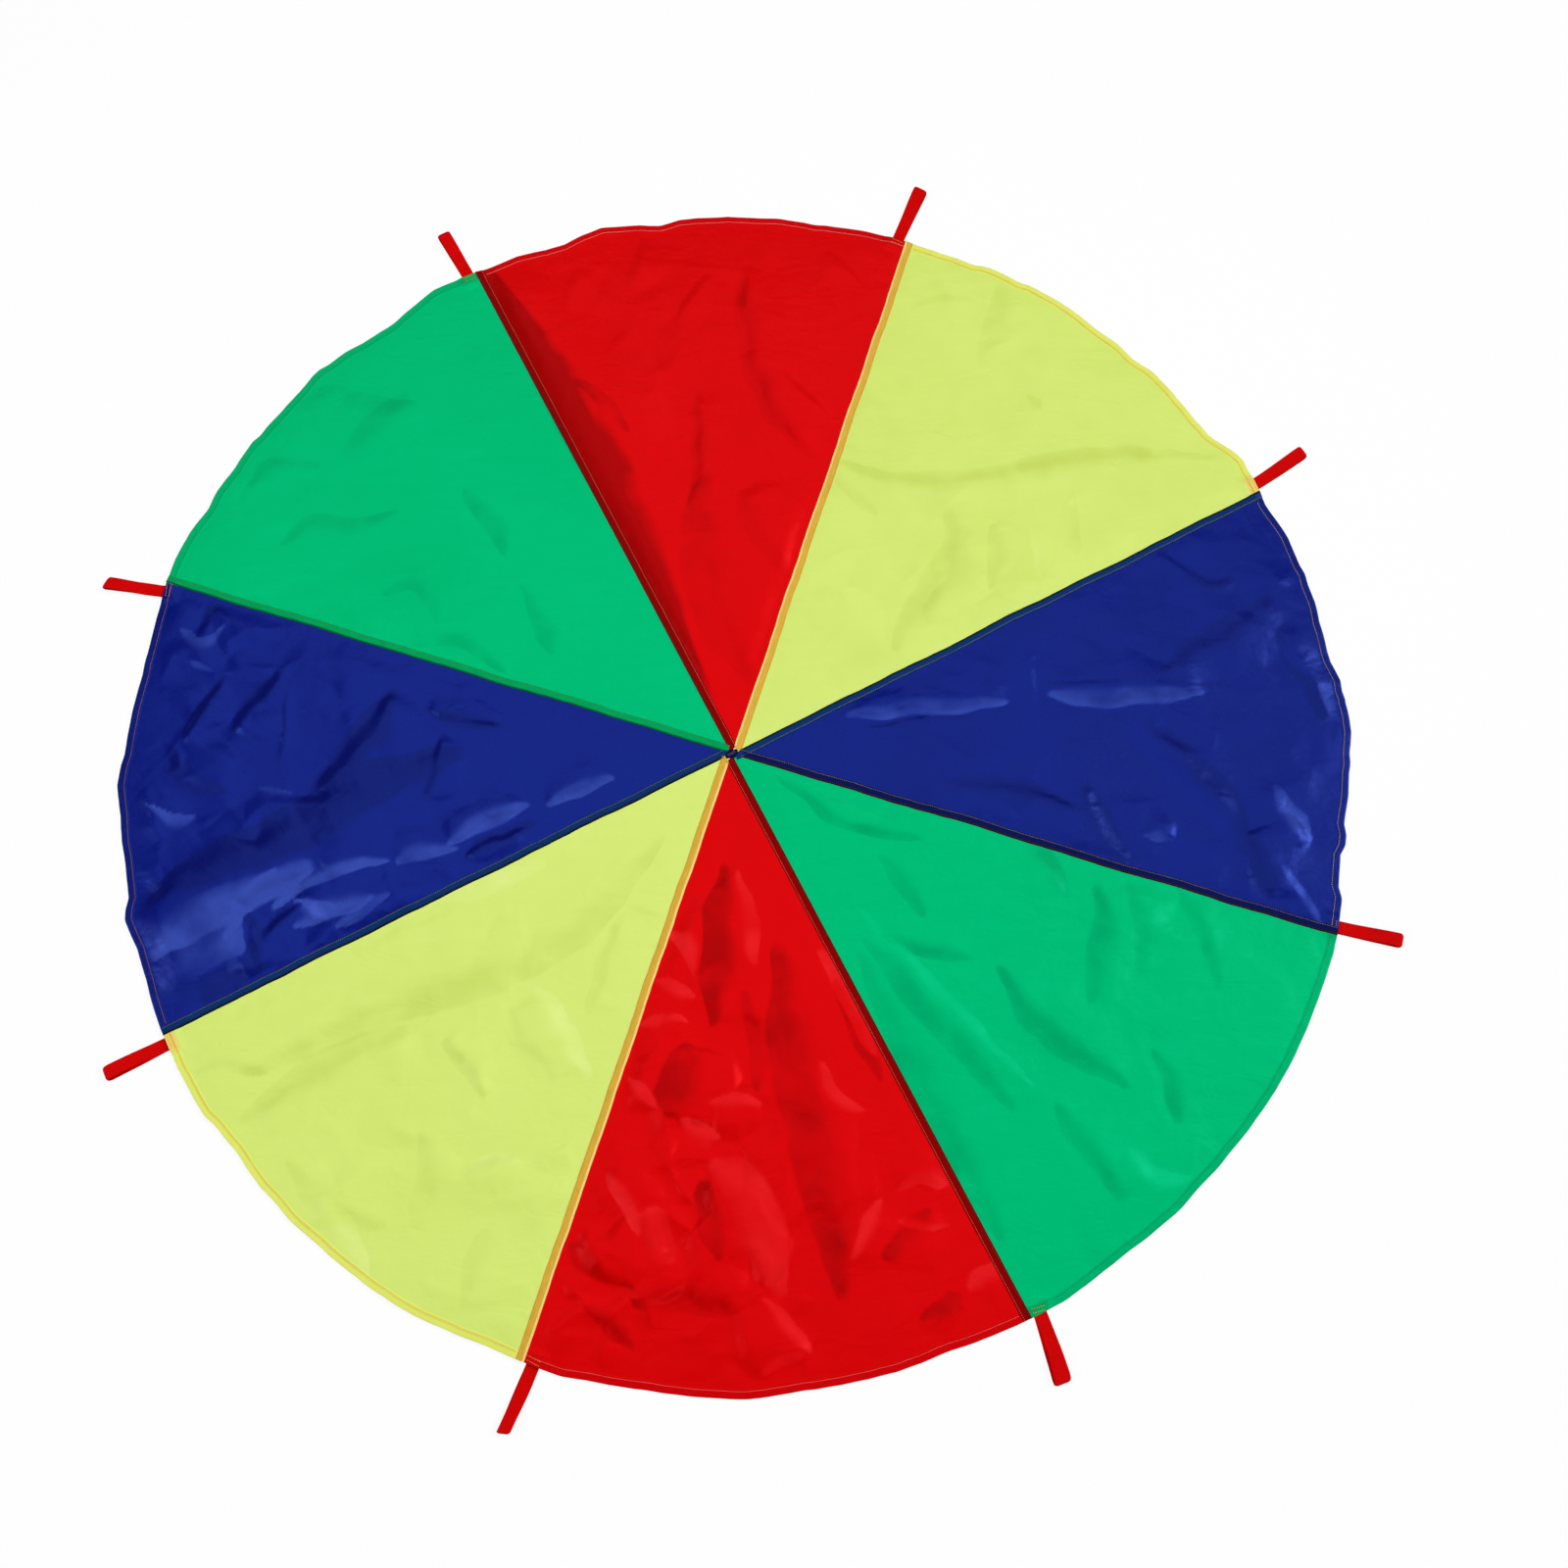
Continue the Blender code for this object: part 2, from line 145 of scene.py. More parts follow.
def colour(name, description, default):
    return FloatVectorProperty(
        name=name, description=description, default=on_screen(*default), size=3, min=0, max=1,
        subtype="COLOR",
    )


class ParachuteSizes(bpy.types.PropertyGroup):
    """Sizes of the cloth, seams, stitches and webbing."""

    cloth: length("Cloth", "Thickness of one layer of taffeta", 0.00025, 0.0001)
    hem_width: length("Hem Width", "Width of the twice turned hem", 0.013, 0.005)
    fold_steepness: FloatProperty(
        name="Fold Steepness", description="How steep the folds are beside the measured ones",
        default=1.0, min=0.0, max=2.0,
    )
    swell_height: length("Swell Height", "Height of the broad swells of the cloth", 0.0030)
    crease_height: length("Crease Height", "Height of the crisp creases", 0.0024)
    crumple_height: length("Crumple Height", "Height of the facets of crumpled cloth", 0.0085)
    crinkle_height: length("Crinkle Height", "Height of the small crinkles", 0.0008)
    roll_height: length("Roll Height", "Height of the cloth that rolls up beside a seam", 0.0145)
    relief_limit: length("Relief Limit", "Height that the folds come near but never pass", 0.0175)
    pucker_height: length("Pucker Height", "Height of the puckers along seams and hem", 0.0010)
    edge_wave: length("Edge Wave", "How far the edge ripples in and out", 0.0012)
    seam_width: length("Seam Width", "Width of a felled seam", 0.013, 0.005)
    seam_height: length("Seam Height", "Thickness of a felled seam", 0.0012, 0.0003)
    stitch: length("Stitch", "Length of one stitch", 0.0024, 0.001)
    stitch_step: length("Stitch Step", "From one stitch to the next", 0.0034, 0.0015)
    thread_radius: length("Thread Radius", "Radius of the sewing thread", 0.00058, 0.0001)
    row_inset: length("Row Inset", "From a seam's edge to its row of stitches", 0.0020, 0.0005)
    webbing_width: length("Webbing Width", "Width of a handle's webbing", 0.020, 0.01)
    webbing: length("Webbing", "Thickness of a handle's webbing", 0.001, 0.0005)


class ParachuteColours(bpy.types.PropertyGroup):
    """Colours of the cloth, seams, threads and webbing."""

    yellow: colour("Yellow", "Lime yellow gores", (213, 232, 116))
    red: colour("Red", "Red gores", (216, 3, 4))
    green: colour("Green", "Green gores", (0, 186, 112))
    blue: colour("Blue", "Blue gores", (4, 19, 115))
    webbing: colour("Webbing", "Red webbing of the handles", (218, 3, 4))


# Numbers for the lie of the cloth

# Folds of each gore: the width of the flank as a share of the radius, its slope, positive where it rises to
# the left of the path, how much painted highlight (about 1) or painted shade (about -1) the flank's colour
# gets, and the path as distances out along the gore and across it, in thousandths of the radius
FOLD_LINES = {
    1: (
        (0.026, -0.19, -0.41,
         ((508, 216), (538, 123), (596, 42), (677, -39), (788, -112), (887, -217), (936, -305))),
        (0.040, 0.15, -0.33, ((559, 7), (533, -52), (459, -69), (373, -75), (301, -92))),
        (0.015, 0.12, -0.27, ((493, 212), (482, 151), (477, 82))),
        (0.022, 0.12, -0.27, ((595, -70), (545, -122), (490, -149))),
        (0.022, 0.15, 0.42, ((629, -127), (608, -164), (564, -195))),
        (0.022, -0.11, -0.24, ((729, -141), (666, -178), (634, -223))),
        (0.028, 0.09, -0.20, ((985, 201), (912, 165), (801, 120))),
        (0.015, -0.12, -0.27, ((815, 32), (816, -10))),
        (0.015, -0.11, -0.24, ((835, 287), (887, 255), (905, 203))),
        (0.025, -0.11, 0.31, ((341, 46), (345, -14), (302, -70))),
    ),
    2: (
        (0.055, 0.46, -1.00,
         ((898, 346), (761, 288), (603, 219), (461, 173), (322, 127), (180, 79), (84, 43))),
        (0.017, -0.14, -0.39, ((697, 255), (678, 195), (634, 150), (584, 129))),
        (0.022, -0.10, 0.44, ((682, 218), (619, 181))),
        (0.034, 0.46, -0.30, ((904, -87), (793, -84), (678, -95), (578, -131), (502, -192))),
        (0.025, 0.25, -0.23, ((666, 8), (529, 14), (439, 34))),
        (0.052, 0.30, -0.27, ((509, 2), (420, 26), (316, 26), (187, -4), (106, -56))),
        (0.043, 0.25, -0.23, ((468, -45), (384, -77), (296, -121))),
        (0.014, -0.28, -0.26, ((792, 40), (843, 9), (886, -35))),
        (0.018, 0.20, -0.18, ((984, 87), (933, 94), (869, 118))),
        (0.012, -0.25, -0.09, ((925, -237), (887, -268), (838, -295))),
        (0.012, -0.25, -0.09, ((683, -143), (638, -174), (594, -207))),
        (0.046, -0.12, 0.14, ((803, 122), (667, 97), (533, 55))),
        (0.028, 0.15, -0.13, ((928, 202), (872, 231), (816, 260))),
    ),
    3: (
        (0.025, 0.12, -0.43, ((665, -63), (592, -53), (515, -19))),
        (0.025, 0.12, -0.43, ((467, 5), (406, 28), (339, 58))),
        (0.022, -0.11, -0.38, ((830, 219), (819, 140), (755, 110), (713, 33))),
        (0.025, -0.10, -0.36, ((985, 16), (960, -55), (869, -82), (829, -139))),
        (0.028, 0.10, -0.36, ((855, -142), (856, -44), (857, 29))),
        (0.022, -0.11, -0.38, ((948, 176), (935, 94), (870, 64))),
        (0.018, 0.11, -0.38, ((532, 201), (493, 146), (417, 132), (371, 134))),
        (0.018, 0.10, -0.36, ((633, 171), (603, 100), (518, 144))),
    ),
    4: (
        (0.050, -0.29, -1.25,
         ((972, 172), (906, 129), (798, 93), (702, 55), (605, -3), (508, -28), (417, -47))),
        (0.034, 0.46, -1.00, ((539, -167), (586, -102), (633, -42), (692, 9))),
        (0.043, 0.46, 1.00, ((955, 266), (905, 223), (798, 168), (677, 123))),
        (0.040, 0.46, 1.00, ((914, 295), (855, 262), (780, 224))),
        (0.022, 0.10, 0.94, ((720, 229), (657, 203), (581, 190))),
        (0.006, 0.46, -0.40, ((720, -190), (732, -116), (746, -32))),
        (0.008, -0.10, 0.40, ((778, -7), (717, 1))),
        (0.031, 0.46, -0.88, ((728, -218), (777, -171), (820, -106))),
        (0.015, 0.14, 1.00, ((827, 239), (789, 178), (744, 127))),
        (0.018, 0.10, 1.00, ((757, 197), (703, 153), (630, 140), (554, 134))),
        (0.015, -0.46, -1.00, ((780, 243), (745, 208), (700, 186))),
        (0.014, -0.10, 1.00, ((719, 178), (694, 199), (650, 200))),
        (0.014, 0.46, -1.00, ((798, 193), (786, 243), (768, 292))),
        (0.015, 0.46, 1.00, ((657, 238), (600, 211), (558, 182))),
        (0.014, -0.46, -1.00, ((642, 255), (579, 235), (537, 200))),
        (0.018, 0.10, 1.00, ((554, 140), (512, 118), (449, 124))),
        (0.022, 0.46, 1.00, ((471, 115), (399, 75), (328, 55))),
        (0.018, -0.46, -1.00, ((450, 143), (384, 103), (320, 89))),
        (0.018, 0.46, 1.00, ((309, 63), (254, 38), (189, 28))),
        (0.062, 0.28, -0.65, ((955, 310), (877, 304), (752, 293))),
        (0.018, -0.46, -0.88, ((900, -97), (868, -162), (832, -210))),
        (0.022, -0.10, 0.82, ((911, -305), (862, -265), (829, -297))),
        (0.018, -0.19, -0.82, ((878, -284), (845, -334), (813, -296))),
        (0.022, 0.14, -0.74, ((926, -99), (894, -29), (813, -5))),
        (0.018, -0.14, 0.88, ((958, -1), (909, 37), (878, 23))),
        (0.018, 0.46, -0.74, ((505, -129), (441, -89), (361, -79))),
        (0.018, 0.46, -0.74, ((471, -75), (483, -9), (510, 39))),
    ),
    5: (
        (0.042, 0.21, -0.50,
         ((911, -263), (817, -204), (674, -149), (548, -63), (401, 10), (284, 15), (155, 2))),
        (0.037, -0.21, -0.50, ((955, -198), (850, -172), (759, -140), (664, -94))),
        (0.018, 0.46, -0.41, ((648, -42), (651, 7), (674, 79))),
        (0.028, -0.25, 0.38, ((488, 9), (511, 84), (543, 174))),
        (0.028, 0.20, -0.23, ((533, -5), (570, 71), (585, 147))),
        (0.018, 0.25, -0.30, ((936, -308), (887, -283), (863, -211))),
        (0.011, 0.25, -0.24, ((303, 32), (289, 69), (269, 102))),
        (0.025, -0.22, -0.27, ((476, 110), (388, 69), (306, 43))),
        (0.034, -0.15, 0.44, ((941, -20), (965, 66), (985, 129))),
        (0.031, 0.15, -0.34, ((768, 24), (823, 97), (896, 124))),
        (0.025, 0.18, -0.41, ((808, 206), (881, 233), (932, 260))),
        (0.022, -0.25, 0.38, ((783, 122), (732, 136), (704, 193))),
        (0.031, 0.15, -0.34, ((938, -108), (953, 12), (905, 91))),
        (0.031, 0.12, 0.37, ((517, -233), (412, -158), (327, -107))),
    ),
    6: (
        (0.052, 0.46, -0.70, ((180, -27), (276, -39), (370, -54), (450, -66))),
        (0.031, -0.34, 0.66, ((192, -6), (264, 4), (360, 9))),
        (0.052, 0.24, -0.58,
         ((300, 48), (410, 52), (519, 52), (611, 74), (701, 81), (805, 96), (892, 103))),
        (0.055, -0.34, 0.57, ((651, -96), (677, -34), (770, -6), (870, 13))),
        (0.043, 0.19, -0.62, ((677, -98), (731, -90), (805, -77))),
        (0.022, 0.40, 0.75, ((331, 111), (413, 154), (515, 190))),
        (0.018, -0.14, 0.75, ((511, 102), (573, 114), (595, 167))),
        (0.022, 0.29, -0.48, ((386, 131), (476, 169), (561, 192))),
        (0.018, 0.34, 0.75, ((720, 200), (697, 242), (719, 282))),
        (0.015, 0.29, 0.75, ((767, 195), (779, 236), (777, 278))),
        (0.022, -0.46, -0.48, ((825, 166), (786, 215), (745, 249))),
        (0.031, -0.10, 0.75, ((876, 291), (856, 320), (845, 357))),
        (0.028, -0.46, -0.55, ((918, 213), (901, 247), (879, 285))),
        (0.022, 0.40, 0.75, ((281, -129), (316, -91), (364, -81))),
        (0.015, -0.10, 0.75, ((362, -150), (381, -108), (399, -84))),
        (0.015, -0.10, 0.75, ((431, -176), (424, -120), (435, -96))),
        (0.052, 0.46, -0.66, ((462, -101), (519, -120), (587, -146))),
        (0.015, -0.19, 0.75, ((512, -202), (542, -168), (567, -160))),
        (0.022, -0.10, 0.75, ((582, -127), (609, -99), (618, -60))),
        (0.015, -0.10, 0.75, ((562, -83), (560, -28), (573, 7))),
        (0.018, 0.34, 0.75, ((653, -241), (706, -214), (754, -193))),
        (0.028, 0.46, -0.48, ((753, -310), (798, -265), (834, -207))),
        (0.031, -0.40, 0.61, ((709, -178), (769, -164), (799, -145))),
        (0.031, 0.46, -0.41, ((850, -223), (846, -134), (879, -47))),
        (0.022, 0.46, -0.48, ((845, -288), (876, -254), (922, -213))),
        (0.022, -0.19, 0.66, ((853, -21), (898, 11), (944, 51))),
        (0.022, 0.24, -0.44, ((389, -9), (468, 4), (560, 2))),
        (0.018, -0.10, 0.66, ((822, 121), (766, 151), (724, 176))),
    ),
    7: (
        (0.018, 0.22, -0.55, ((76, 19), (141, 26), (200, 19), (273, 55), (337, 91))),
        (0.018, -0.20, 0.39, ((123, 37), (199, 45), (261, 70))),
        (0.015, -0.10, 0.62, ((302, -60), (390, -73), (488, -86), (615, -96), (726, -114))),
        (0.031, 0.20, -0.48, ((349, -92), (472, -115), (609, -137), (723, -160))),
        (0.020, 0.25, -0.61, ((377, -72), (445, -56), (517, -4))),
        (0.031, 0.25, -0.61, ((543, 9), (645, -31), (724, -28), (832, -13))),
        (0.028, 0.21, -0.51, ((584, 209), (639, 173), (673, 98), (704, 43))),
        (0.022, 0.22, -0.55, ((812, 62), (865, 38), (917, -16))),
        (0.022, -0.25, 0.49, ((877, -88), (944, -102), (985, -60))),
        (0.022, -0.19, -0.46, ((443, 206), (496, 195), (572, 158))),
        (0.020, 0.20, -0.48, ((286, 19), (346, 15), (418, -9))),
        (0.025, 0.18, -0.42, ((739, -107), (831, -127), (931, -159))),
        (0.037, 0.20, -0.48, ((349, -112), (538, -196), (721, -278), (839, -331))),
        (0.022, 0.15, -0.36, ((684, 294), (777, 247), (836, 194))),
        (0.025, 0.15, -0.36, ((624, 244), (696, 200), (732, 128))),
    ),
    8: (
        (0.008, -0.29, 0.28, ((509, 145), (508, 69), (503, -15))),
        (0.008, -0.24, -0.31, ((514, 72), (626, 65), (738, 53), (853, 43))),
        (0.025, 0.46, 1.12, ((515, 58), (615, 39), (719, 35), (793, 38))),
        (0.022, 0.46, 1.12, ((181, 47), (268, 53), (365, 48), (472, 48))),
        (0.009, -0.24, -0.31, ((217, 27), (299, 33), (411, 30))),
        (0.031, 0.10, 0.35, ((643, -4), (696, -71), (756, -138), (780, -213))),
        (0.028, -0.10, -0.73, ((677, 6), (743, -81), (807, -159), (813, -254))),
        (0.037, -0.14, 1.12, ((866, -128), (892, -183), (918, -235))),
        (0.031, 0.46, -0.78, ((812, -206), (836, -257), (826, -320))),
        (0.031, -0.28, -0.51, ((708, 71), (814, 131), (922, 191))),
        (0.022, 0.46, -0.58, ((914, 139), (948, 50), (959, -36))),
        (0.018, 0.10, 0.99, ((924, 104), (964, 48))),
        (0.025, -0.25, -0.46, ((335, -81), (460, -102), (566, -151))),
        (0.014, 0.46, 0.99, ((650, -191), (701, -206))),
        (0.025, -0.28, -0.51, ((572, -102), (580, -169), (634, -239))),
        (0.022, -0.19, 0.99, ((867, -259), (888, -325), (905, -375))),
        (0.018, -0.25, -0.46, ((739, 296), (811, 219), (862, 232))),
    ),
}

# How far the whole of a gore is toned, because it lies turned from the light
SHADED = {1: -0.25, 8: -0.32}

# The height that one fold comes near, as a share of the radius
FOLD_LIMIT = 0.0115

# The cloth that rolls up beside one seam: distances out as shares of the radius, and its crest there
ROLLED_GORE, ROLLED_SEAM = 2, 3
ROLL_OUT = (0.0, 0.15, 0.40, 0.68, 0.80, 0.92, 1.0)
ROLL_REACH = (0.016, 0.022, 0.034, 0.046, 0.040, 0.034, 0.026)

# Where each gore is crumpled: all over, then in patches of (out, across, radius, amount)
CRUMPLED = {
    1: (0.22, ((0.45, -0.12, 0.20, 0.4),)),
    2: (0.16, ((0.85, 0.05, 0.20, 0.3),)),
    3: (0.14, ()),
    4: (0.35, ((0.72, 0.25, 0.20, 1.0), (0.85, -0.15, 0.22, 0.7), (0.45, 0.12, 0.15, 0.6))),
    5: (0.30, ((0.75, 0.18, 0.25, 0.5),)),
    6: (0.30, ((0.75, -0.22, 0.24, 1.2), (0.88, 0.10, 0.22, 0.9), (0.50, -0.10, 0.15, 0.6))),
    7: (0.16, ((0.75, 0.10, 0.25, 0.3),)),
    8: (0.26, ((0.80, -0.17, 0.20, 0.4), (0.80, 0.20, 0.20, 0.2), (0.40, 0.05, 0.12, 0.4))),
}

# The height that a gore may have beside the fold line and how much more for each metre from it, so that
# the folded halves lie clear of each other: the rolled gore has more of it, and the one that it meets less
FOLD_ROOM = {2: (0.0078, 0.060), 3: (0.0008, 0.020)}
USUAL_ROOM = (0.0040, 0.040)

# The edge's bays and bulges: angles in degrees, and how far out the edge lies there beside a true circle,
# in thousandths of the radius
EDGE_BENDS = (
    (0, 9), (1, 6), (2, 7), (4, -2), (5, -3), (8, -2), (10, 2), (12, 2), (13, 4), (14, 2), (17, 5),
    (21, -1), (26, 10), (27, 6), (30, -10), (32, -12), (38, -4), (39, -4), (41, -10), (43, -6), (46, -8),
    (48, -4), (51, -2), (54, -3), (55, -6), (57, -5), (59, -6), (60, -11), (61, -12), (62, -11),
    (64, -12), (71, -7), (74, -7), (77, -10), (81, -5), (85, -4), (86, -2), (87, -3), (89, -1), (91, -1),
    (93, -8), (94, -6), (95, -1), (99, 7), (101, 2), (103, -7), (105, -6), (108, 1), (111, 1), (117, 10),
    (122, -6), (123, -7), (126, -4), (128, 3), (130, 5), (131, 9), (132, 9), (134, 4), (140, 2), (141, 6),
    (144, 1), (147, 2), (149, -2), (152, 4), (155, 6), (163, -6), (167, -8), (175, -2), (176, 2),
    (178, 6), (181, 0), (182, 0), (186, -4), (188, -4), (189, -3), (190, 5), (191, 9), (194, -1),
    (197, -2), (200, 2), (209, 4), (211, 3), (212, -1), (215, -6), (219, -1), (221, -2), (223, 1),
    (227, 0), (232, 2), (237, 2), (244, -5), (251, 2), (253, -1), (258, -2), (267, 4), (272, -2),
    (280, -3), (285, -7), (296, 1), (300, -3), (303, -3), (308, 2), (311, 1), (322, 8), (326, 9),
    (332, 8), (336, 9), (341, 3), (342, -5), (345, -9), (346, -2), (347, -2), (348, -6), (349, -5),
    (351, 0), (353, 2), (354, 5), (355, 5), (357, 11), (359, 10),
)

# Where the handles' webbing lies under the hem: how far it goes in from the rim, how much wider the flat
# cloth over it is, and how wide the slope down from it
TAIL_LENGTH = 0.016
TAIL_MARGIN = 0.004
TAIL_RAMP = 0.012

# The gap between two gores, and between webbing and the cloth over it
CLEARANCE = 0.0003

# The gores' grids: how many rows and columns are evenly spaced, how far from a seam the closer columns lie,
# and how far from the middle a gore's tip is
ROWS_OUT = 250
COLUMNS_ACROSS = 160
CLOSE_COLUMNS = (0.0, 0.0008, 0.0016, 0.0024, 0.0032, 0.0045, 0.0070, 0.0100)
TIP_RADIUS = 0.003

# How close a piece may come to the line on which the canopy folds and still ride its half
FOLD_ZONE = 0.0032

# How many random values noise and facets have each way before they repeat, and what spreads noise to
# about -1 to 1
LATTICE = 64
NOISE_SPREAD = 1.5

# Seeds of all that falls by chance. Where each gore, seam or fold has its own, the seed grows with its
# number.
SEEDS = {
    "swell": 1, "small swell": 2, "creases out": 5, "creases across": 6, "folds out": 7, "folds across": 8,
    "knot": 7, "large creases": 11, "small crinkles": 23, "hem lift": 40, "hem ripple": 50, "pucker": 60,
    "small pucker": 70, "edge kinks": 81, "small edge kinks": 82, "seam line": 90, "small waver": 99,
    "seam width": 120, "seam ripple": 130, "seam stitches": 140, "hem stitches": 150, "large facets": 200,
    "small facets": 300, "tone facets": 400, "small tone facets": 600, "flank": 700,
}


def ramp(value, low, high):
    """0 below low, 1 above high, a smooth S between."""
    share = np.clip((value - low) / (high - low), 0, 1)
    return share * share * (3 - 2 * share)


def noise(x, y, size, seed):
    """Gradient noise from -1 to 1: at each corner of a square lattice stands a random slope, and the
    slopes' planes are blended over each square by a smooth S of the fifth degree."""
    turns = np.random.default_rng(seed).uniform(0, math.tau, (LATTICE, LATTICE))
    u, v = x / size, y / size
    i, j = np.floor(u).astype(int), np.floor(v).astype(int)
    fu, fv = u - i, v - j
    su, sv = fu**3 * (6 * fu**2 - 15 * fu + 10), fv**3 * (6 * fv**2 - 15 * fv + 10)

    def corner(di, dj):
        turn = turns[(i + di) % LATTICE, (j + dj) % LATTICE]
        return np.cos(turn) * (fu - di) + np.sin(turn) * (fv - dj)

    low = corner(0, 0) * (1 - su) + corner(1, 0) * su
    high = corner(0, 1) * (1 - su) + corner(1, 1) * su
    return NOISE_SPREAD * (low * (1 - sv) + high * sv)


def noise_along(distance, size, seed):
    """Noise from -1 to 1 along a line."""
    return noise(distance, 0 * distance, size, seed)


def fold_line_distance(x, y):
    """How far a point lies to the right of the line on which the canopy folds in half."""
    return x * FOLD_OUT[0] + y * FOLD_OUT[1]


def seam_frame(seam, x, y):
    """A point's distance out along a seam and to its counter-clockwise side."""
    turn = seam_angle(seam)
    return x * math.cos(turn) + y * math.sin(turn), y * math.cos(turn) - x * math.sin(turn)


def from_seam(seam, along, aside):
    turn = seam_angle(seam)
    return along * math.cos(turn) - aside * math.sin(turn), along * math.sin(turn) + aside * math.cos(turn)


def handle_place(handle):
    """Where a handle's webbing crosses the canopy's edge, its direction out and its length past the edge,
    all from its tail and loop in the frame."""
    tail = node_points(f"handle_tail_{handle}")[:, :2]
    hinge = joint(f"handle_{handle}_swing")
    out = np.array([hinge["axis"][1], -hinge["axis"][0]])
    pivot = np.array(hinge["pos_m"][:2])
    inner = ((tail - pivot) @ out).min()
    loop = node_points(f"handle_loop_{handle}")[:, :2]
    return pivot + out * (inner + TAIL_LENGTH), out, ((loop - pivot) @ out).max() - inner - TAIL_LENGTH


HANDLES = {h: handle_place(h) for h in range(1, GORES + 1)}


def tail_cover(sizes, x, y):
    """1 over the handles' tails under the hem and 0 away from them, with soft shoulders."""
    cover = 0
    half = sizes.webbing_width / 2 + TAIL_MARGIN / 2
    for place, out, _ in HANDLES.values():
        dx, dy = x - place[0], y - place[1]
        along, aside = dx * out[0] + dy * out[1], dy * out[0] - dx * out[1]
        inside = ramp(along, -TAIL_LENGTH - TAIL_RAMP, -TAIL_LENGTH)
        cover = cover + inside * (1 - ramp(np.abs(aside), half, half + TAIL_RAMP))
    return cover


# The lie of the cloth


def smoothed(path):
    """A path in thousandths, as shares, with its corners cut twice, so that it bends softly."""
    path = np.array(path) / 1000
    for _ in range(2):
        near, far = path[:-1] * 0.75 + path[1:] * 0.25, path[:-1] * 0.25 + path[1:] * 0.75
        middle = np.stack([near, far], axis=1).reshape(-1, 2)
        path = np.concatenate([path[:1], middle, path[-1:]])
    return path


def beside_path(along, across, path):
    """For every point: its distance to the left of a path of straight parts, and how far along the
    path it is, 0 to 1."""
    lengths = np.linalg.norm(np.diff(path, axis=0), axis=1)
    passed = np.concatenate([[0], np.cumsum(lengths)])
    nearest, aside, travelled = np.full(along.shape, np.inf), np.zeros(along.shape), np.zeros(along.shape)
    for start, end, length_of, before in zip(path[:-1], path[1:], lengths, passed):
        run = (end - start) / length_of
        out, off = along - start[0], across - start[1]
        down = np.clip(out * run[0] + off * run[1], 0, length_of)
        left = off * run[0] - out * run[1]
        gap = np.hypot(out - down * run[0], off - down * run[1])
        closer = gap < nearest
        nearest = np.where(closer, gap, nearest)
        aside = np.where(closer, np.where(left < 0, -gap, gap), aside)
        travelled = np.where(closer, (before + down) / passed[-1], travelled)
    return aside, travelled


def from_ends(travelled, share):
    """0 at both ends of a path and 1 from a share of its length on."""
    return ramp(travelled, 0.0, share) * (1 - ramp(travelled, 1 - share, 1.0))


# A fold: how wide its flank is at its ends beside its middle, the share of its length over which it dies
# out there, and how many flanks' widths its fall behind the crest takes
NARROW_END = 0.45
DYING_SHARE = 0.16
FALL_WIDTHS = 1.9


def fold(along, across, width, slope, path):
    """The height of one fold: a flank, a smooth S from its foot at -0.5 to its crest at 0.5, and a slow
    fall behind it. The flank is as wide as given at the fold's middle and about half that at its ends. The
    height is soft-limited, so that a wide fold is not a high one."""
    aside, travelled = beside_path(along, across, smoothed(path))
    wide = width * (NARROW_END + (1 - NARROW_END) * np.sin(np.pi * travelled))
    flank = aside / wide * (1 if slope > 0 else -1)
    behind = np.exp(-((np.maximum(flank - 0.5, 0) / FALL_WIDTHS) ** 2))
    height = FOLD_LIMIT * np.tanh(abs(slope) * wide / FOLD_LIMIT)
    return height * ramp(flank, -0.5, 0.5) * behind * from_ends(travelled, DYING_SHARE)


# A small crease: how far its line bows, how the bow changes with its turn, how much steeper its steep side
# is, and what rounds its peak and brings it back to full height
CREASE_BOW = 0.8
BOWS_PER_TURN = 7
STEEP_SIDE = 2.2
PEAK_ROUNDING = 0.02
PEAK_GAIN = 0.14


def creases(along, across, rows):
    """Sums one small crease for each row: a peak that falls off at a steady rate, steeper on one side,
    along a line that bows a little."""
    height = 0
    for out, aside, turn, half_length, half_width, share in rows:
        c, s = math.cos(math.radians(turn)), math.sin(math.radians(turn))
        down = ((along - out) * c + (across - aside) * s) / half_length
        over = ((across - aside) * c - (along - out) * s) / half_width
        over = over + CREASE_BOW * down**2 * math.cos(BOWS_PER_TURN * turn)
        steep = np.where(over > 0, 1.0, STEEP_SIDE)
        peak = np.sqrt((over * steep) ** 2 + PEAK_ROUNDING)
        height = height + share * np.exp(-(down**2) - peak + PEAK_GAIN)
    return height


# Facets: how far their lattice is bent and over what size, both beside a facet's own size, and how high a
# triangle of the lattice is beside its side
FACET_BEND = 0.45
FACET_BEND_SIZE = 1.3
TRIANGLE_HEIGHT = 0.866


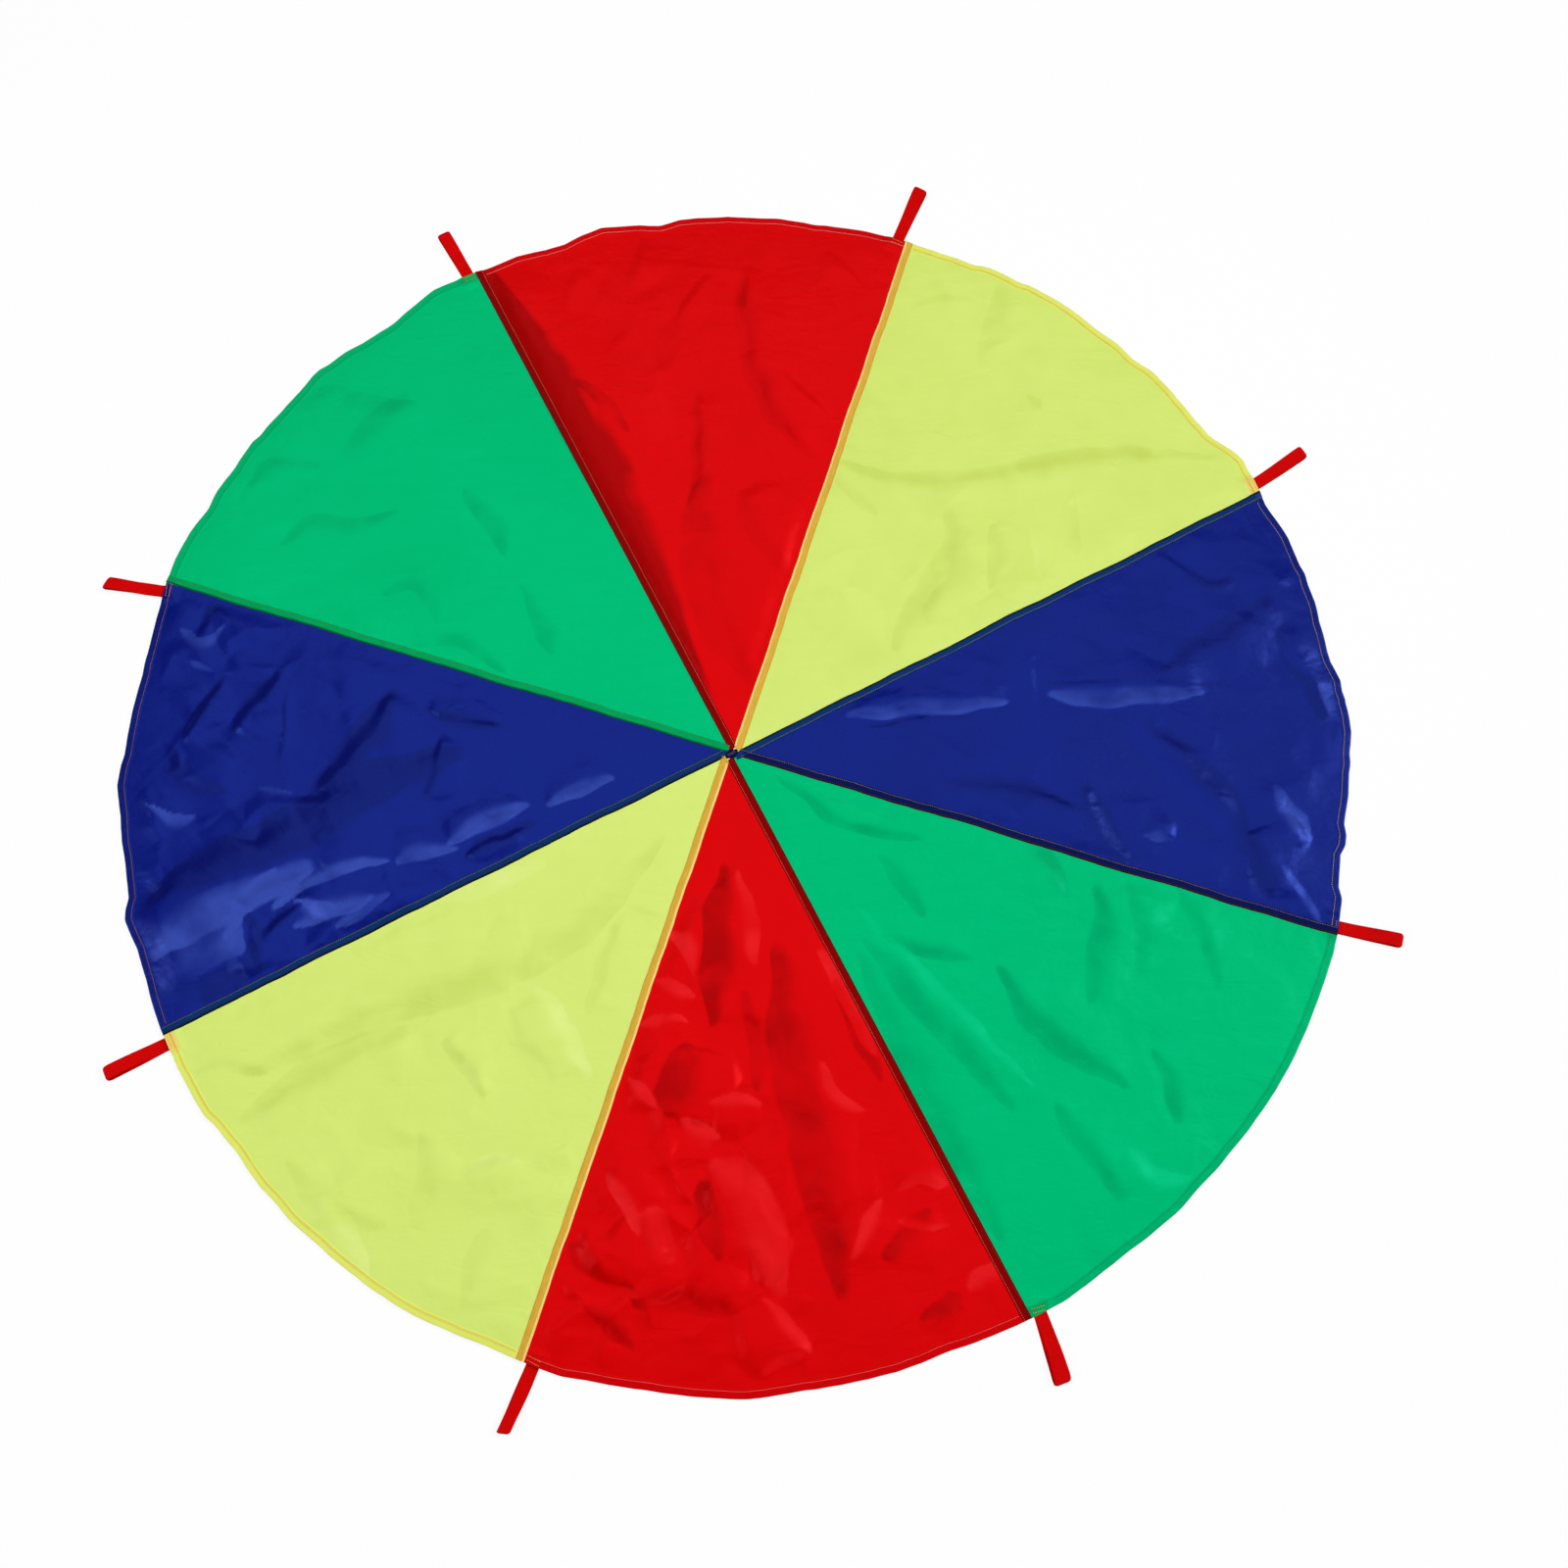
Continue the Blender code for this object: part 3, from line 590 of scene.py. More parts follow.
def facets(x, y, size, seed):
    """Crumpled cloth: random heights at the corners of a lattice of triangles, joined by flat facets that
    meet at sharp edges. The lattice is bent so that no two facets are alike."""
    x = x + FACET_BEND * size * noise(x, y, FACET_BEND_SIZE * size, seed + 1)
    y = y + FACET_BEND * size * noise(x, y, FACET_BEND_SIZE * size, seed + 2)
    heights = np.random.default_rng(seed).uniform(-1, 1, (LATTICE, LATTICE))
    v = y / (TRIANGLE_HEIGHT * size)
    u = x / size - v / 2
    i, j = np.floor(u).astype(int), np.floor(v).astype(int)
    fu, fv = u - i, v - j
    corner = [[heights[(i + di) % LATTICE, (j + dj) % LATTICE] for dj in (0, 1)] for di in (0, 1)]
    near = corner[0][0] + (corner[1][0] - corner[0][0]) * fu + (corner[0][1] - corner[0][0]) * fv
    far = corner[1][1] + (corner[0][1] - corner[1][1]) * (1 - fu) + (corner[1][0] - corner[1][1]) * (1 - fv)
    return np.where(fu + fv < 1, near, far)


def crumple_amount(along, across, gore):
    """How crumpled the cloth is at a point of a gore."""
    amount, patches = CRUMPLED[gore]
    for out, aside, reach, more in patches:
        amount = amount + more * np.exp(-((along - out) ** 2 + (across - aside) ** 2) / reach**2)
    return amount


# Small ridges strewn over a gore: where they begin and how far on they go, how far aside they lie beside
# the gore's own half width, how far they turn from the gore's line in degrees, how high they are beside
# one another, and which way they stand, since a few of them are hollows
RIDGES_FROM = 0.12
RIDGES_SPAN = 0.86
RIDGES_ASIDE = 0.9
RIDGES_TURN = 48
RIDGE_HEIGHTS = (0.3, 1)
RIDGE_SIDES = (1, 1, -0.7)


def scatter(gore, count, reach, width, seed):
    """Rows of small ridges strewn over a gore by chance, the same on each run: more of them towards the
    hem, turned mostly along the gore."""
    chance = np.random.default_rng(seed * 100 + gore)
    rows = []
    for _ in range(count):
        out = RIDGES_FROM + RIDGES_SPAN * math.sqrt(chance.uniform())
        aside = chance.uniform(-RIDGES_ASIDE, RIDGES_ASIDE) * out * math.tan(SECTOR / 2)
        turn = chance.normal(0, RIDGES_TURN)
        long, wide = chance.uniform(*reach), chance.uniform(*width)
        height = chance.uniform(*RIDGE_HEIGHTS) * chance.choice(RIDGE_SIDES)
        rows.append((out, aside, turn, long, wide, height))
    return rows


# How many creases and crinkles a gore has, and their half lengths and half widths as shares of the radius
LARGE_CREASES = {"count": 26, "reach": (0.03, 0.10), "width": (0.007, 0.014)}
SMALL_CRINKLES = {"count": 80, "reach": (0.012, 0.045), "width": (0.004, 0.008)}
SCATTERS = {
    g: (
        scatter(g, **LARGE_CREASES, seed=SEEDS["large creases"]),
        scatter(g, **SMALL_CRINKLES, seed=SEEDS["small crinkles"]),
    )
    for g in range(1, GORES + 1)
}


# How far the folds' places are bent by chance, as a share of the radius, and over what size
PLACE_BEND = 0.006
PLACE_BEND_SIZE = 0.055


def in_gore(gore, x, y):
    """Points as shares of the radius out along a gore's middle and across it, bent a little by chance."""
    turn = seam_angle(gore) + SECTOR / 2
    along = (x * math.cos(turn) + y * math.sin(turn)) / RADIUS
    across = (y * math.cos(turn) - x * math.sin(turn)) / RADIUS
    along = along + PLACE_BEND * noise(x, y, PLACE_BEND_SIZE, SEEDS["folds out"])
    return along, across + PLACE_BEND * noise(x, y, PLACE_BEND_SIZE, SEEDS["folds across"])


# A small facet of painted light on a flank: where its two corners lie along it, how wide it is at a
# corner, and how wide at its ends
NEAR_CORNER = (0.15, 0.45)
FAR_CORNER = (0.55, 0.85)
CORNER_WIDTH = (0.5, 1.1)
TIP_WIDTH = 0.05


def flank_width(travelled, seed):
    """How wide a small facet of painted light is along its fold, as a share of the fold's width: straight
    lines from each tip to two uneven corners."""
    chance = np.random.default_rng(seed)
    near, far = chance.uniform(*NEAR_CORNER), chance.uniform(*FAR_CORNER)
    widths = (TIP_WIDTH, chance.uniform(*CORNER_WIDTH), chance.uniform(*CORNER_WIDTH), TIP_WIDTH)
    return np.interp(travelled, (0.0, near, far, 1.0), widths)


# The painted highlight and painted shade of the folds' flanks: the lightest and darkest that it gets, how
# many widths long a fold is that isn't a small facet, a flank's least width and what its shape adds, how
# full a spindle is, and the share of its length over which a flank fades out at its ends
PAINTED_LIGHT_LIMIT = 1.4
FACET_LENGTH = 6
LEAST_WIDTH = 0.08
SHAPE_WIDTH = 1.1
SPINDLE_FULLNESS = 0.7
FADING_ENDS = 0.06

# From where to where on a flank the painted highlight or shade sets in at the foot and fades past the
# crest: the flanks with the darkest painted shade are crisp on both sides, and the others are soft behind
FOOT = (-0.70, -0.50)
SOFT_CREST = (0.0, 1.2)
CRISP_CREST = (0.45, 1.15)

# Two sizes of crumpled facets that make the painted highlight and shade uneven: by how much, and their
# size beside the radius
UNEVEN_PAINTED_LIGHT, UNEVEN_SIZE = 0.45, 0.040
FINE_UNEVEN_PAINTED_LIGHT, FINE_UNEVEN_SIZE = 0.18, 0.017

# The painted shade on the roll's flank: where it ends past the crest, beside its reach, and where it sets
# in along the seam
ROLL_PAINTED_SHADE_END = (0.85, 1.35)
ROLL_PAINTED_SHADE_OUT = (0.05, 0.25)


def painted_fold_light(gore, x, y):
    """Painted highlight and painted shade on the folds' flanks: one flank is painted paler, as if lit, and
    the other darker, as if in shade, crisp at the foot and fading past the crest. A short flank is a small
    facet with corners, and a long one is a spindle. A gore turned from the light is painted darker as a
    whole, and the flank of the roll beside its seam gets painted shade."""
    along, across = in_gore(gore, x, y)
    tone = SHADED.get(gore, 0.0)
    for row, (width, slope, shade, path) in enumerate(FOLD_LINES[gore]):
        aside, travelled = beside_path(along, across, smoothed(path))
        path_length = np.linalg.norm(np.diff(path, axis=0), axis=1).sum() / 1000
        if path_length < FACET_LENGTH * width:
            shape = flank_width(travelled, SEEDS["flank"] + 50 * gore + row)
        else:
            shape = np.sin(np.pi * travelled) ** SPINDLE_FULLNESS
        flank = aside / (width * (LEAST_WIDTH + SHAPE_WIDTH * shape)) * (1 if slope > 0 else -1)
        past_crest = ramp(flank, *(SOFT_CREST if shade > -1 else CRISP_CREST))
        tone = tone + shade * from_ends(travelled, FADING_ENDS) * ramp(flank, *FOOT) * (1 - past_crest)
    uneven = facets(along, across, UNEVEN_SIZE, SEEDS["tone facets"] + 10 * gore)
    tone = tone * (1 + UNEVEN_PAINTED_LIGHT * uneven)
    uneven = facets(along, across, FINE_UNEVEN_SIZE, SEEDS["small tone facets"] + 10 * gore)
    tone = tone * (1 + FINE_UNEVEN_PAINTED_LIGHT * uneven)
    # Painted shade on the flank of the cloth that rolls up beside its seam
    if gore == ROLLED_GORE:
        out, aside = seam_frame(ROLLED_SEAM, x, y)
        rise = -aside / roll_reach(out)
        tone = tone - PAINTED_LIGHT_LIMIT * (1 - ramp(rise, *ROLL_PAINTED_SHADE_END)) * ramp(out, *ROLL_PAINTED_SHADE_OUT)
    return np.clip(tone, -PAINTED_LIGHT_LIMIT, PAINTED_LIGHT_LIMIT)


# The relief of a gore: how far its creases' places are bent by chance, in shares of the radius, over what
# size in metres, how creased even smooth cloth is, and how soft the turn is where the relief meets 0
CREASE_BEND = 0.012
CREASE_BEND_SIZE = 0.16
LEAST_CREASING = 0.3
FLOOR_SOFTNESS = 0.003

# Large and small facets: size, share of the crumples' height, and how they are stretched out and skewed
LARGE_FACETS, LARGE_SHARE, LARGE_STRETCH = 0.105, 0.85, 0.85
SMALL_FACETS, SMALL_SHARE, SMALL_STRETCH, SMALL_SKEW = 0.042, 0.75, 0.9, 0.2


def gore_relief(sizes, gore, x, y):
    """Folds, creases, crinkles and crumples of one gore, kept above 0 and below the relief's limit."""
    along, across = in_gore(gore, x, y)
    amount = crumple_amount(along, across, gore)
    height = 0
    for width, slope, _, path in FOLD_LINES[gore]:
        height = height + sizes.fold_steepness * RADIUS * fold(along, across, width, slope, path)
    few, many = SCATTERS[gore]
    bent_along = along + CREASE_BEND * noise(x, y, CREASE_BEND_SIZE, SEEDS["creases out"])
    bent_across = across + CREASE_BEND * noise(x, y, CREASE_BEND_SIZE, SEEDS["creases across"])
    height += sizes.crease_height * (LEAST_CREASING + amount) * creases(bent_along, bent_across, few)
    height += sizes.crinkle_height * (LEAST_CREASING + amount) * creases(bent_along, bent_across, many)
    large = facets(along * LARGE_STRETCH, across, LARGE_FACETS, SEEDS["large facets"] + 10 * gore)
    skewed = along * SMALL_STRETCH + SMALL_SKEW * across
    small = facets(skewed, across, SMALL_FACETS, SEEDS["small facets"] + 10 * gore)
    height = height + sizes.crumple_height * amount * (LARGE_SHARE * large + SMALL_SHARE * small)
    height = (height + np.sqrt(height**2 + FLOOR_SOFTNESS**2)) / 2
    return sizes.relief_limit * np.tanh(height / sizes.relief_limit)


def roll_reach(radius):
    """How far the roll beside its seam reaches from the seam, by the distance out from the middle."""
    return np.interp(radius / RADIUS, ROLL_OUT, ROLL_REACH)


# How far out lines along a seam begin to calm towards the rim
RIM_CALM_FROM = 0.9


def rim_calm(along):
    """1 over most of a seam's length, and 0 at the rim."""
    return ramp(-along, -RADIUS, -RIM_CALM_FROM * RADIUS)


# The roll: where its flank starts as a share of the seam's width, how full the flank is, how far it falls
# behind the crest, how high it is at least beside its widest place, and where it grows along the seam
ROLL_FOOT = 0.75
ROLL_FULLNESS = 1.15
ROLL_FALL = 0.075
ROLL_LEAST = 0.6
ROLL_GROWS = (0.06, 0.22)


def roll(sizes, x, y):
    """The cloth that rolls up beside a seam: a steep flank from the felled seam up to a sharp crest, and a
    long fall behind it."""
    along, aside = seam_frame(ROLLED_SEAM, x, y)
    gap = -aside
    crest = roll_reach(along)
    foot = ROLL_FOOT * sizes.seam_width
    flank = np.clip((gap - foot) / (crest - foot), 0, 1) ** ROLL_FULLNESS
    behind = np.exp(-((np.maximum(gap - crest, 0) / ROLL_FALL) ** 2))
    height = sizes.roll_height * (ROLL_LEAST + (1 - ROLL_LEAST) * (crest / max(ROLL_REACH)))
    return height * flank * behind * (ramp(along, *ROLL_GROWS) * rim_calm(along))


# Where the relief fades out, in metres: from each seam, from the rim, and from the line on which the canopy
# folds, where some of it is left
SEAM_CALM = (0.001, 0.034)
RIM_CALM = (0.002, 0.050)
FOLD_CALM = (0.02, 0.22)
FOLD_CALM_LEAST = 0.45

# Broad swells and smaller ones, how high the smaller are beside the others, and where swells begin
SWELL_SIZE = 0.31
SMALL_SWELL_SIZE, SMALL_SWELL_SHARE = 0.17, 0.5
SWELLS_FROM = (0.01, 0.12)

# How the hem lifts: the size of its lifts and ripples along the rim, how much slower they change inwards,
# how high a lift is beside a pucker, how far in they reach, and where they are calm beside the fold line
HEM_LIFT_SIZE, HEM_RIPPLE_SIZE = 0.085, 0.035
HEM_SLOWER = 0.3
HEM_LIFT_SHARE = 2.2
HEM_LIFT_REACH = 0.045
HEM_CALM = (0.01, 0.10)

# How a seam puckers the cloth: the size of large and small puckers along it, how much slower they change
# beside it, how high they are, how far they reach, and where they set in beside it and from the middle
PUCKER_SIZE, PUCKER_SLOWER = 0.026, 0.35
SMALL_PUCKER_SIZE, SMALL_PUCKER_SLOWER, SMALL_PUCKER_SHARE = 0.012, 0.5, 0.5
SEAM_PUCKER_SHARE = 0.9
PUCKER_REACH = 0.030
PUCKER_BESIDE = (0, 0.016)
PUCKER_FROM = (0.02, 0.15)

# The cloth's least height over the floor
LEAST_HEIGHT = 0.0001


def hem_lift(gore, x, y):
    """How the hem's edge lifts off the floor: ridges of noise along the rim with finer ripples, which fall
    off inwards."""
    to_edge = RADIUS - np.hypot(x, y)
    middle = seam_angle(gore) + SECTOR / 2
    arc = RADIUS * (np.arctan2(y, x) - middle)
    inwards = to_edge * HEM_SLOWER
    lift = np.abs(noise(arc, inwards, HEM_LIFT_SIZE, SEEDS["hem lift"] + gore)) * HEM_LIFT_SHARE
    lift = lift + noise(arc, inwards, HEM_RIPPLE_SIZE, SEEDS["hem ripple"])
    calm = ramp(np.abs(fold_line_distance(x, y)), *HEM_CALM)
    return np.maximum(lift, 0) * np.exp(-((to_edge / HEM_LIFT_REACH) ** 2)) * calm


def seam_pucker(seam, gap, x, y):
    """How a seam puckers the cloth at a gap from its line: noise of two sizes that falls off beside it."""
    along = seam_frame(seam, x, y)[0]
    large = noise(along, gap * PUCKER_SLOWER, PUCKER_SIZE, SEEDS["pucker"] + seam)
    small = noise(along, gap * SMALL_PUCKER_SLOWER, SMALL_PUCKER_SIZE, SEEDS["small pucker"] + seam)
    near = np.exp(-((gap / PUCKER_REACH) ** 2)) * ramp(gap, *PUCKER_BESIDE)
    return (large + SMALL_PUCKER_SHARE * small) * near * ramp(np.hypot(x, y), *PUCKER_FROM)


def lie(sizes, gore, x, y):
    """The height of the cloth's underside: broad swells all over, folds and creases that die out at
    every seam and at the hem, puckers along the sewn edges, and the lift over the handles' tails. Beside
    the line on which the canopy folds, it comes near a limit that grows with the distance from it."""
    radius = np.hypot(x, y)
    first, second = np.abs(seam_frame(gore, x, y)[1]), np.abs(seam_frame(gore + 1, x, y)[1])
    to_fold_line = np.abs(fold_line_distance(x, y))
    calm = ramp(np.minimum(first, second), *SEAM_CALM) * ramp(RADIUS - radius, *RIM_CALM)
    fold_calm = FOLD_CALM_LEAST + (1 - FOLD_CALM_LEAST) * ramp(to_fold_line, *FOLD_CALM)
    height = gore_relief(sizes, gore, x, y) * calm * fold_calm
    if gore == ROLLED_GORE:
        height = np.maximum(height, roll(sizes, x, y))
    swell = noise(x, y, SWELL_SIZE, SEEDS["swell"]) + 1
    swell = swell + SMALL_SWELL_SHARE * noise(x, y, SMALL_SWELL_SIZE, SEEDS["small swell"])
    height += sizes.swell_height * swell * fold_calm * ramp(radius, *SWELLS_FROM)
    height += sizes.pucker_height * hem_lift(gore, x, y)
    for seam, gap in ((gore, first), (gore + 1, second)):
        height += sizes.pucker_height * SEAM_PUCKER_SHARE * seam_pucker(seam, gap, x, y)
    at_fold, per_metre = FOLD_ROOM.get(gore, USUAL_ROOM)
    room = np.minimum(sizes.relief_limit, at_fold + per_metre * to_fold_line)
    height = room * np.tanh(np.maximum(height, 0) / room) + LEAST_HEIGHT
    return height + (2 * sizes.webbing + CLEARANCE) * tail_cover(sizes, x, y)


# A felled seam: the share of its width over which each edge is rounded, and how wide and deep the groove is
# that a row of stitches draws in
ROUNDED_SHARE = 0.07
GROOVE_WIDTH = 0.05
GROOVE_DEPTH = 0.38


def rounded(share):
    """A quarter of a circle: 0 at 0, rising steeply, and 1 from 1 on."""
    return np.sqrt(np.clip(1 - np.clip(1 - share, 0, 1) ** 2, 0, 1))


def seam_profile(sizes, depth):
    """How high a felled seam stands over the cloth by its share across: rolled edges, a flat top, and two
    grooves where the rows of stitches draw it in."""
    inset = sizes.row_inset / sizes.seam_width
    edges = rounded(depth / ROUNDED_SHARE) * rounded((1 - depth) / ROUNDED_SHARE)
    grooves = np.exp(-(((depth - inset) / GROOVE_WIDTH) ** 2))
    grooves = grooves + np.exp(-(((1 - depth - inset) / GROOVE_WIDTH) ** 2))
    return sizes.seam_height * edges * (1 - GROOVE_DEPTH * grooves)


# Where the step up on to the hem starts and ends, as distances out from the hem's inner edge
HEM_STEP = (-0.0006, 0.0004)


def hem_share(sizes, to_edge):
    """1 on the hem and 0 inside it, with a rounded step between."""
    return ramp(-to_edge, -sizes.hem_width + HEM_STEP[0], -sizes.hem_width + HEM_STEP[1])


def hem_extra(sizes, to_edge):
    """The two more layers of cloth along the hem."""
    return 2 * sizes.cloth * hem_share(sizes, to_edge)


def top_height(sizes, gore, x, y, seam=None):
    """The height of the uppermost surface over a point of a gore, on a seam where one is named."""
    height = lie(sizes, gore, x, y) + sizes.cloth + hem_extra(sizes, RADIUS - np.hypot(x, y))
    if seam is not None:
        depth = np.abs(seam_frame(seam, x, y)[1]) / sizes.seam_width
        height = height + seam_profile(sizes, depth)
    return height


# The edge's small kinks: their two sizes, how high they are beside the edge's wave, and from where out they
# and the bays set in
KINK_SIZE, SMALL_KINK_SIZE = 0.075, 0.030
KINK_SHARE = 0.6
BAYS_FROM = 0.55

# How far a seam's line wavers, over what size, for large and small wavers, how far beside it the cloth
# moves along, and where the wavers set in from the middle
WAVER, WAVER_SIZE = 0.0022, 0.11
SMALL_WAVER, SMALL_WAVER_SIZE = 0.0007, 0.03
WAVER_REACH = 0.05
WAVER_FROM = (0.03, 0.15)


def seam_waver(seam, x, y):
    """How far the cloth beside a seam moves to the seam's counter-clockwise side: noise of two sizes along
    the seam, falling off beside it and towards both its ends."""
    along, aside = seam_frame(seam, x, y)
    waver = WAVER * noise_along(along, WAVER_SIZE, SEEDS["seam line"] + seam)
    waver = waver + SMALL_WAVER * noise_along(along, SMALL_WAVER_SIZE, SEEDS["small waver"])
    return waver * np.exp(-((aside / WAVER_REACH) ** 2)) * ramp(along, *WAVER_FROM) * rim_calm(along)


def wander(sizes, x, y):
    """Moves flat points to where they lie: the edge bays and bulges, and each seam's line wavers, but for
    the two on which the canopy folds."""
    radius = np.hypot(x, y)
    angle = np.degrees(np.arctan2(y, x)) % 360
    turns, shares = np.array(EDGE_BENDS).T
    bulge = np.interp(angle, turns, shares, period=360) / 1000
    arc = np.radians(angle) * RADIUS
    kinks = 0.5 - np.abs(noise_along(arc, KINK_SIZE, SEEDS["edge kinks"])) * 2
    kinks = kinks + noise_along(arc, SMALL_KINK_SIZE, SEEDS["small edge kinks"]) * 0.5
    near = ramp(radius, BAYS_FROM * RADIUS, RADIUS) ** 2
    stretch = 1 + near * (bulge + sizes.edge_wave * kinks * KINK_SHARE / RADIUS)
    moved_x, moved_y = x * stretch, y * stretch
    for seam in range(1, GORES + 1):
        if seam in FOLD_SEAMS:
            continue
        waver = seam_waver(seam, x, y)
        moved_x = moved_x - waver * math.sin(seam_angle(seam))
        moved_y = moved_y + waver * math.cos(seam_angle(seam))
    return moved_x, moved_y


# Meshes from grids


def fill_mesh(mesh, points, quads):
    """Puts points (N, 3) and four-sided faces (M, 4) into a mesh."""
    mesh.vertices.add(len(points))
    mesh.vertices.foreach_set("co", np.ascontiguousarray(points, np.float32).ravel())
    mesh.loops.add(quads.size)
    mesh.loops.foreach_set("vertex_index", quads.astype(np.int32).ravel())
    mesh.polygons.add(len(quads))
    mesh.polygons.foreach_set("loop_start", np.arange(0, quads.size, 4, dtype=np.int32))
    mesh.update(calc_edges=True)
    mesh.validate()
    mesh.shade_smooth()


def new_piece(name, points, quads, finish, sharp=40):
    mesh = bpy.data.meshes.new(name)
    fill_mesh(mesh, points, quads)
    mesh.set_sharp_from_angle(angle=math.radians(sharp))
    mesh.materials.append(finish)
    item = bpy.data.objects.new(name, mesh)
    bpy.context.scene.collection.objects.link(item)
    return item


def grid_quads(rows, columns, start=0, closed_rows=False):
    """The faces of a grid whose points run along each row in turn. Closed rows join the last column to
    the first."""
    across = np.arange(columns if closed_rows else columns - 1)
    i, j = np.meshgrid(np.arange(rows - 1), across, indexing="ij")
    after = (j + 1) % columns
    corners = (i * columns + j, (i + 1) * columns + j, (i + 1) * columns + after, i * columns + after)
    return np.stack([c.ravel() for c in corners], axis=1) + start


def two_sides(x, y, high, low):
    """The points of a closed piece: its upper side, then its underside."""
    upper = np.stack([x, y, high], axis=-1).reshape(-1, 3)
    lower = np.stack([x, y, low], axis=-1).reshape(-1, 3)
    return np.concatenate([upper, lower])


def sheet_quads(rows, columns):
    """The faces of a closed sheet: an upper grid facing up, a lower grid facing down and a rim."""
    upper = grid_quads(rows, columns)
    lower = grid_quads(rows, columns, rows * columns)[:, ::-1]
    index = np.arange(rows * columns).reshape(rows, columns)
    ring = np.concatenate([index[0, :-1], index[:-1, -1], index[-1, :0:-1], index[:0:-1, 0]])
    after = np.roll(ring, -1)
    below = rows * columns
    rim = np.stack([ring, after, after + below, ring + below], axis=1)
    return np.concatenate([upper, lower, rim])


def point_attribute(item, name, values):
    """A number for every vertex of a piece."""
    field = item.data.attributes.new(name, "FLOAT", "POINT")
    field.data.foreach_set("value", np.ascontiguousarray(values, np.float32).ravel())


def grid_uv(item, u, v):
    """A UV map from two numbers a vertex."""
    corners = np.empty(len(item.data.loops), np.int32)
    item.data.loops.foreach_get("vertex_index", corners)
    layer = item.data.uv_layers.new(name="lay")
    pairs = np.stack([u.ravel()[corners], v.ravel()[corners]], axis=1)
    layer.data.foreach_set("uv", pairs.astype(np.float32).ravel())


def carry(item, gore):
    """Lets a piece ride its half of the canopy. A piece that comes near the fold keeps its place baked in
    and rides neither half.
    """
    points = np.array([v.co[:2] for v in item.data.vertices])
    gap = fold_line_distance(points[:, 0], points[:, 1])
    if gap.min() > FOLD_ZONE or gap.max() < -FOLD_ZONE:
        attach(item, half_of(gore))
        return
    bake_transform(item)


# Finishes


class Field:
    """A number that varies over a surface: a shader socket that takes Python's operators."""

    def __init__(self, graph, socket):
        self.graph = graph
        self.socket = socket

    def __add__(self, other):
        return self.graph.maths("ADD", self, other)

    __radd__ = __add__

    def __sub__(self, other):
        return self.graph.maths("SUBTRACT", self, other)

    def __rsub__(self, other):
        return self.graph.maths("SUBTRACT", other, self)

    def __mul__(self, other):
        return self.graph.maths("MULTIPLY", self, other)

    __rmul__ = __mul__

    def between(self, low, high):
        """0 at low and 1 at high, held beyond them, with a smooth S between."""
        settings = {"clamp": True, "interpolation_type": "SMOOTHSTEP"}
        sockets = {"Value": self, "From Min": low, "From Max": high}
        return self.graph.node("ShaderNodeMapRange", settings, sockets)


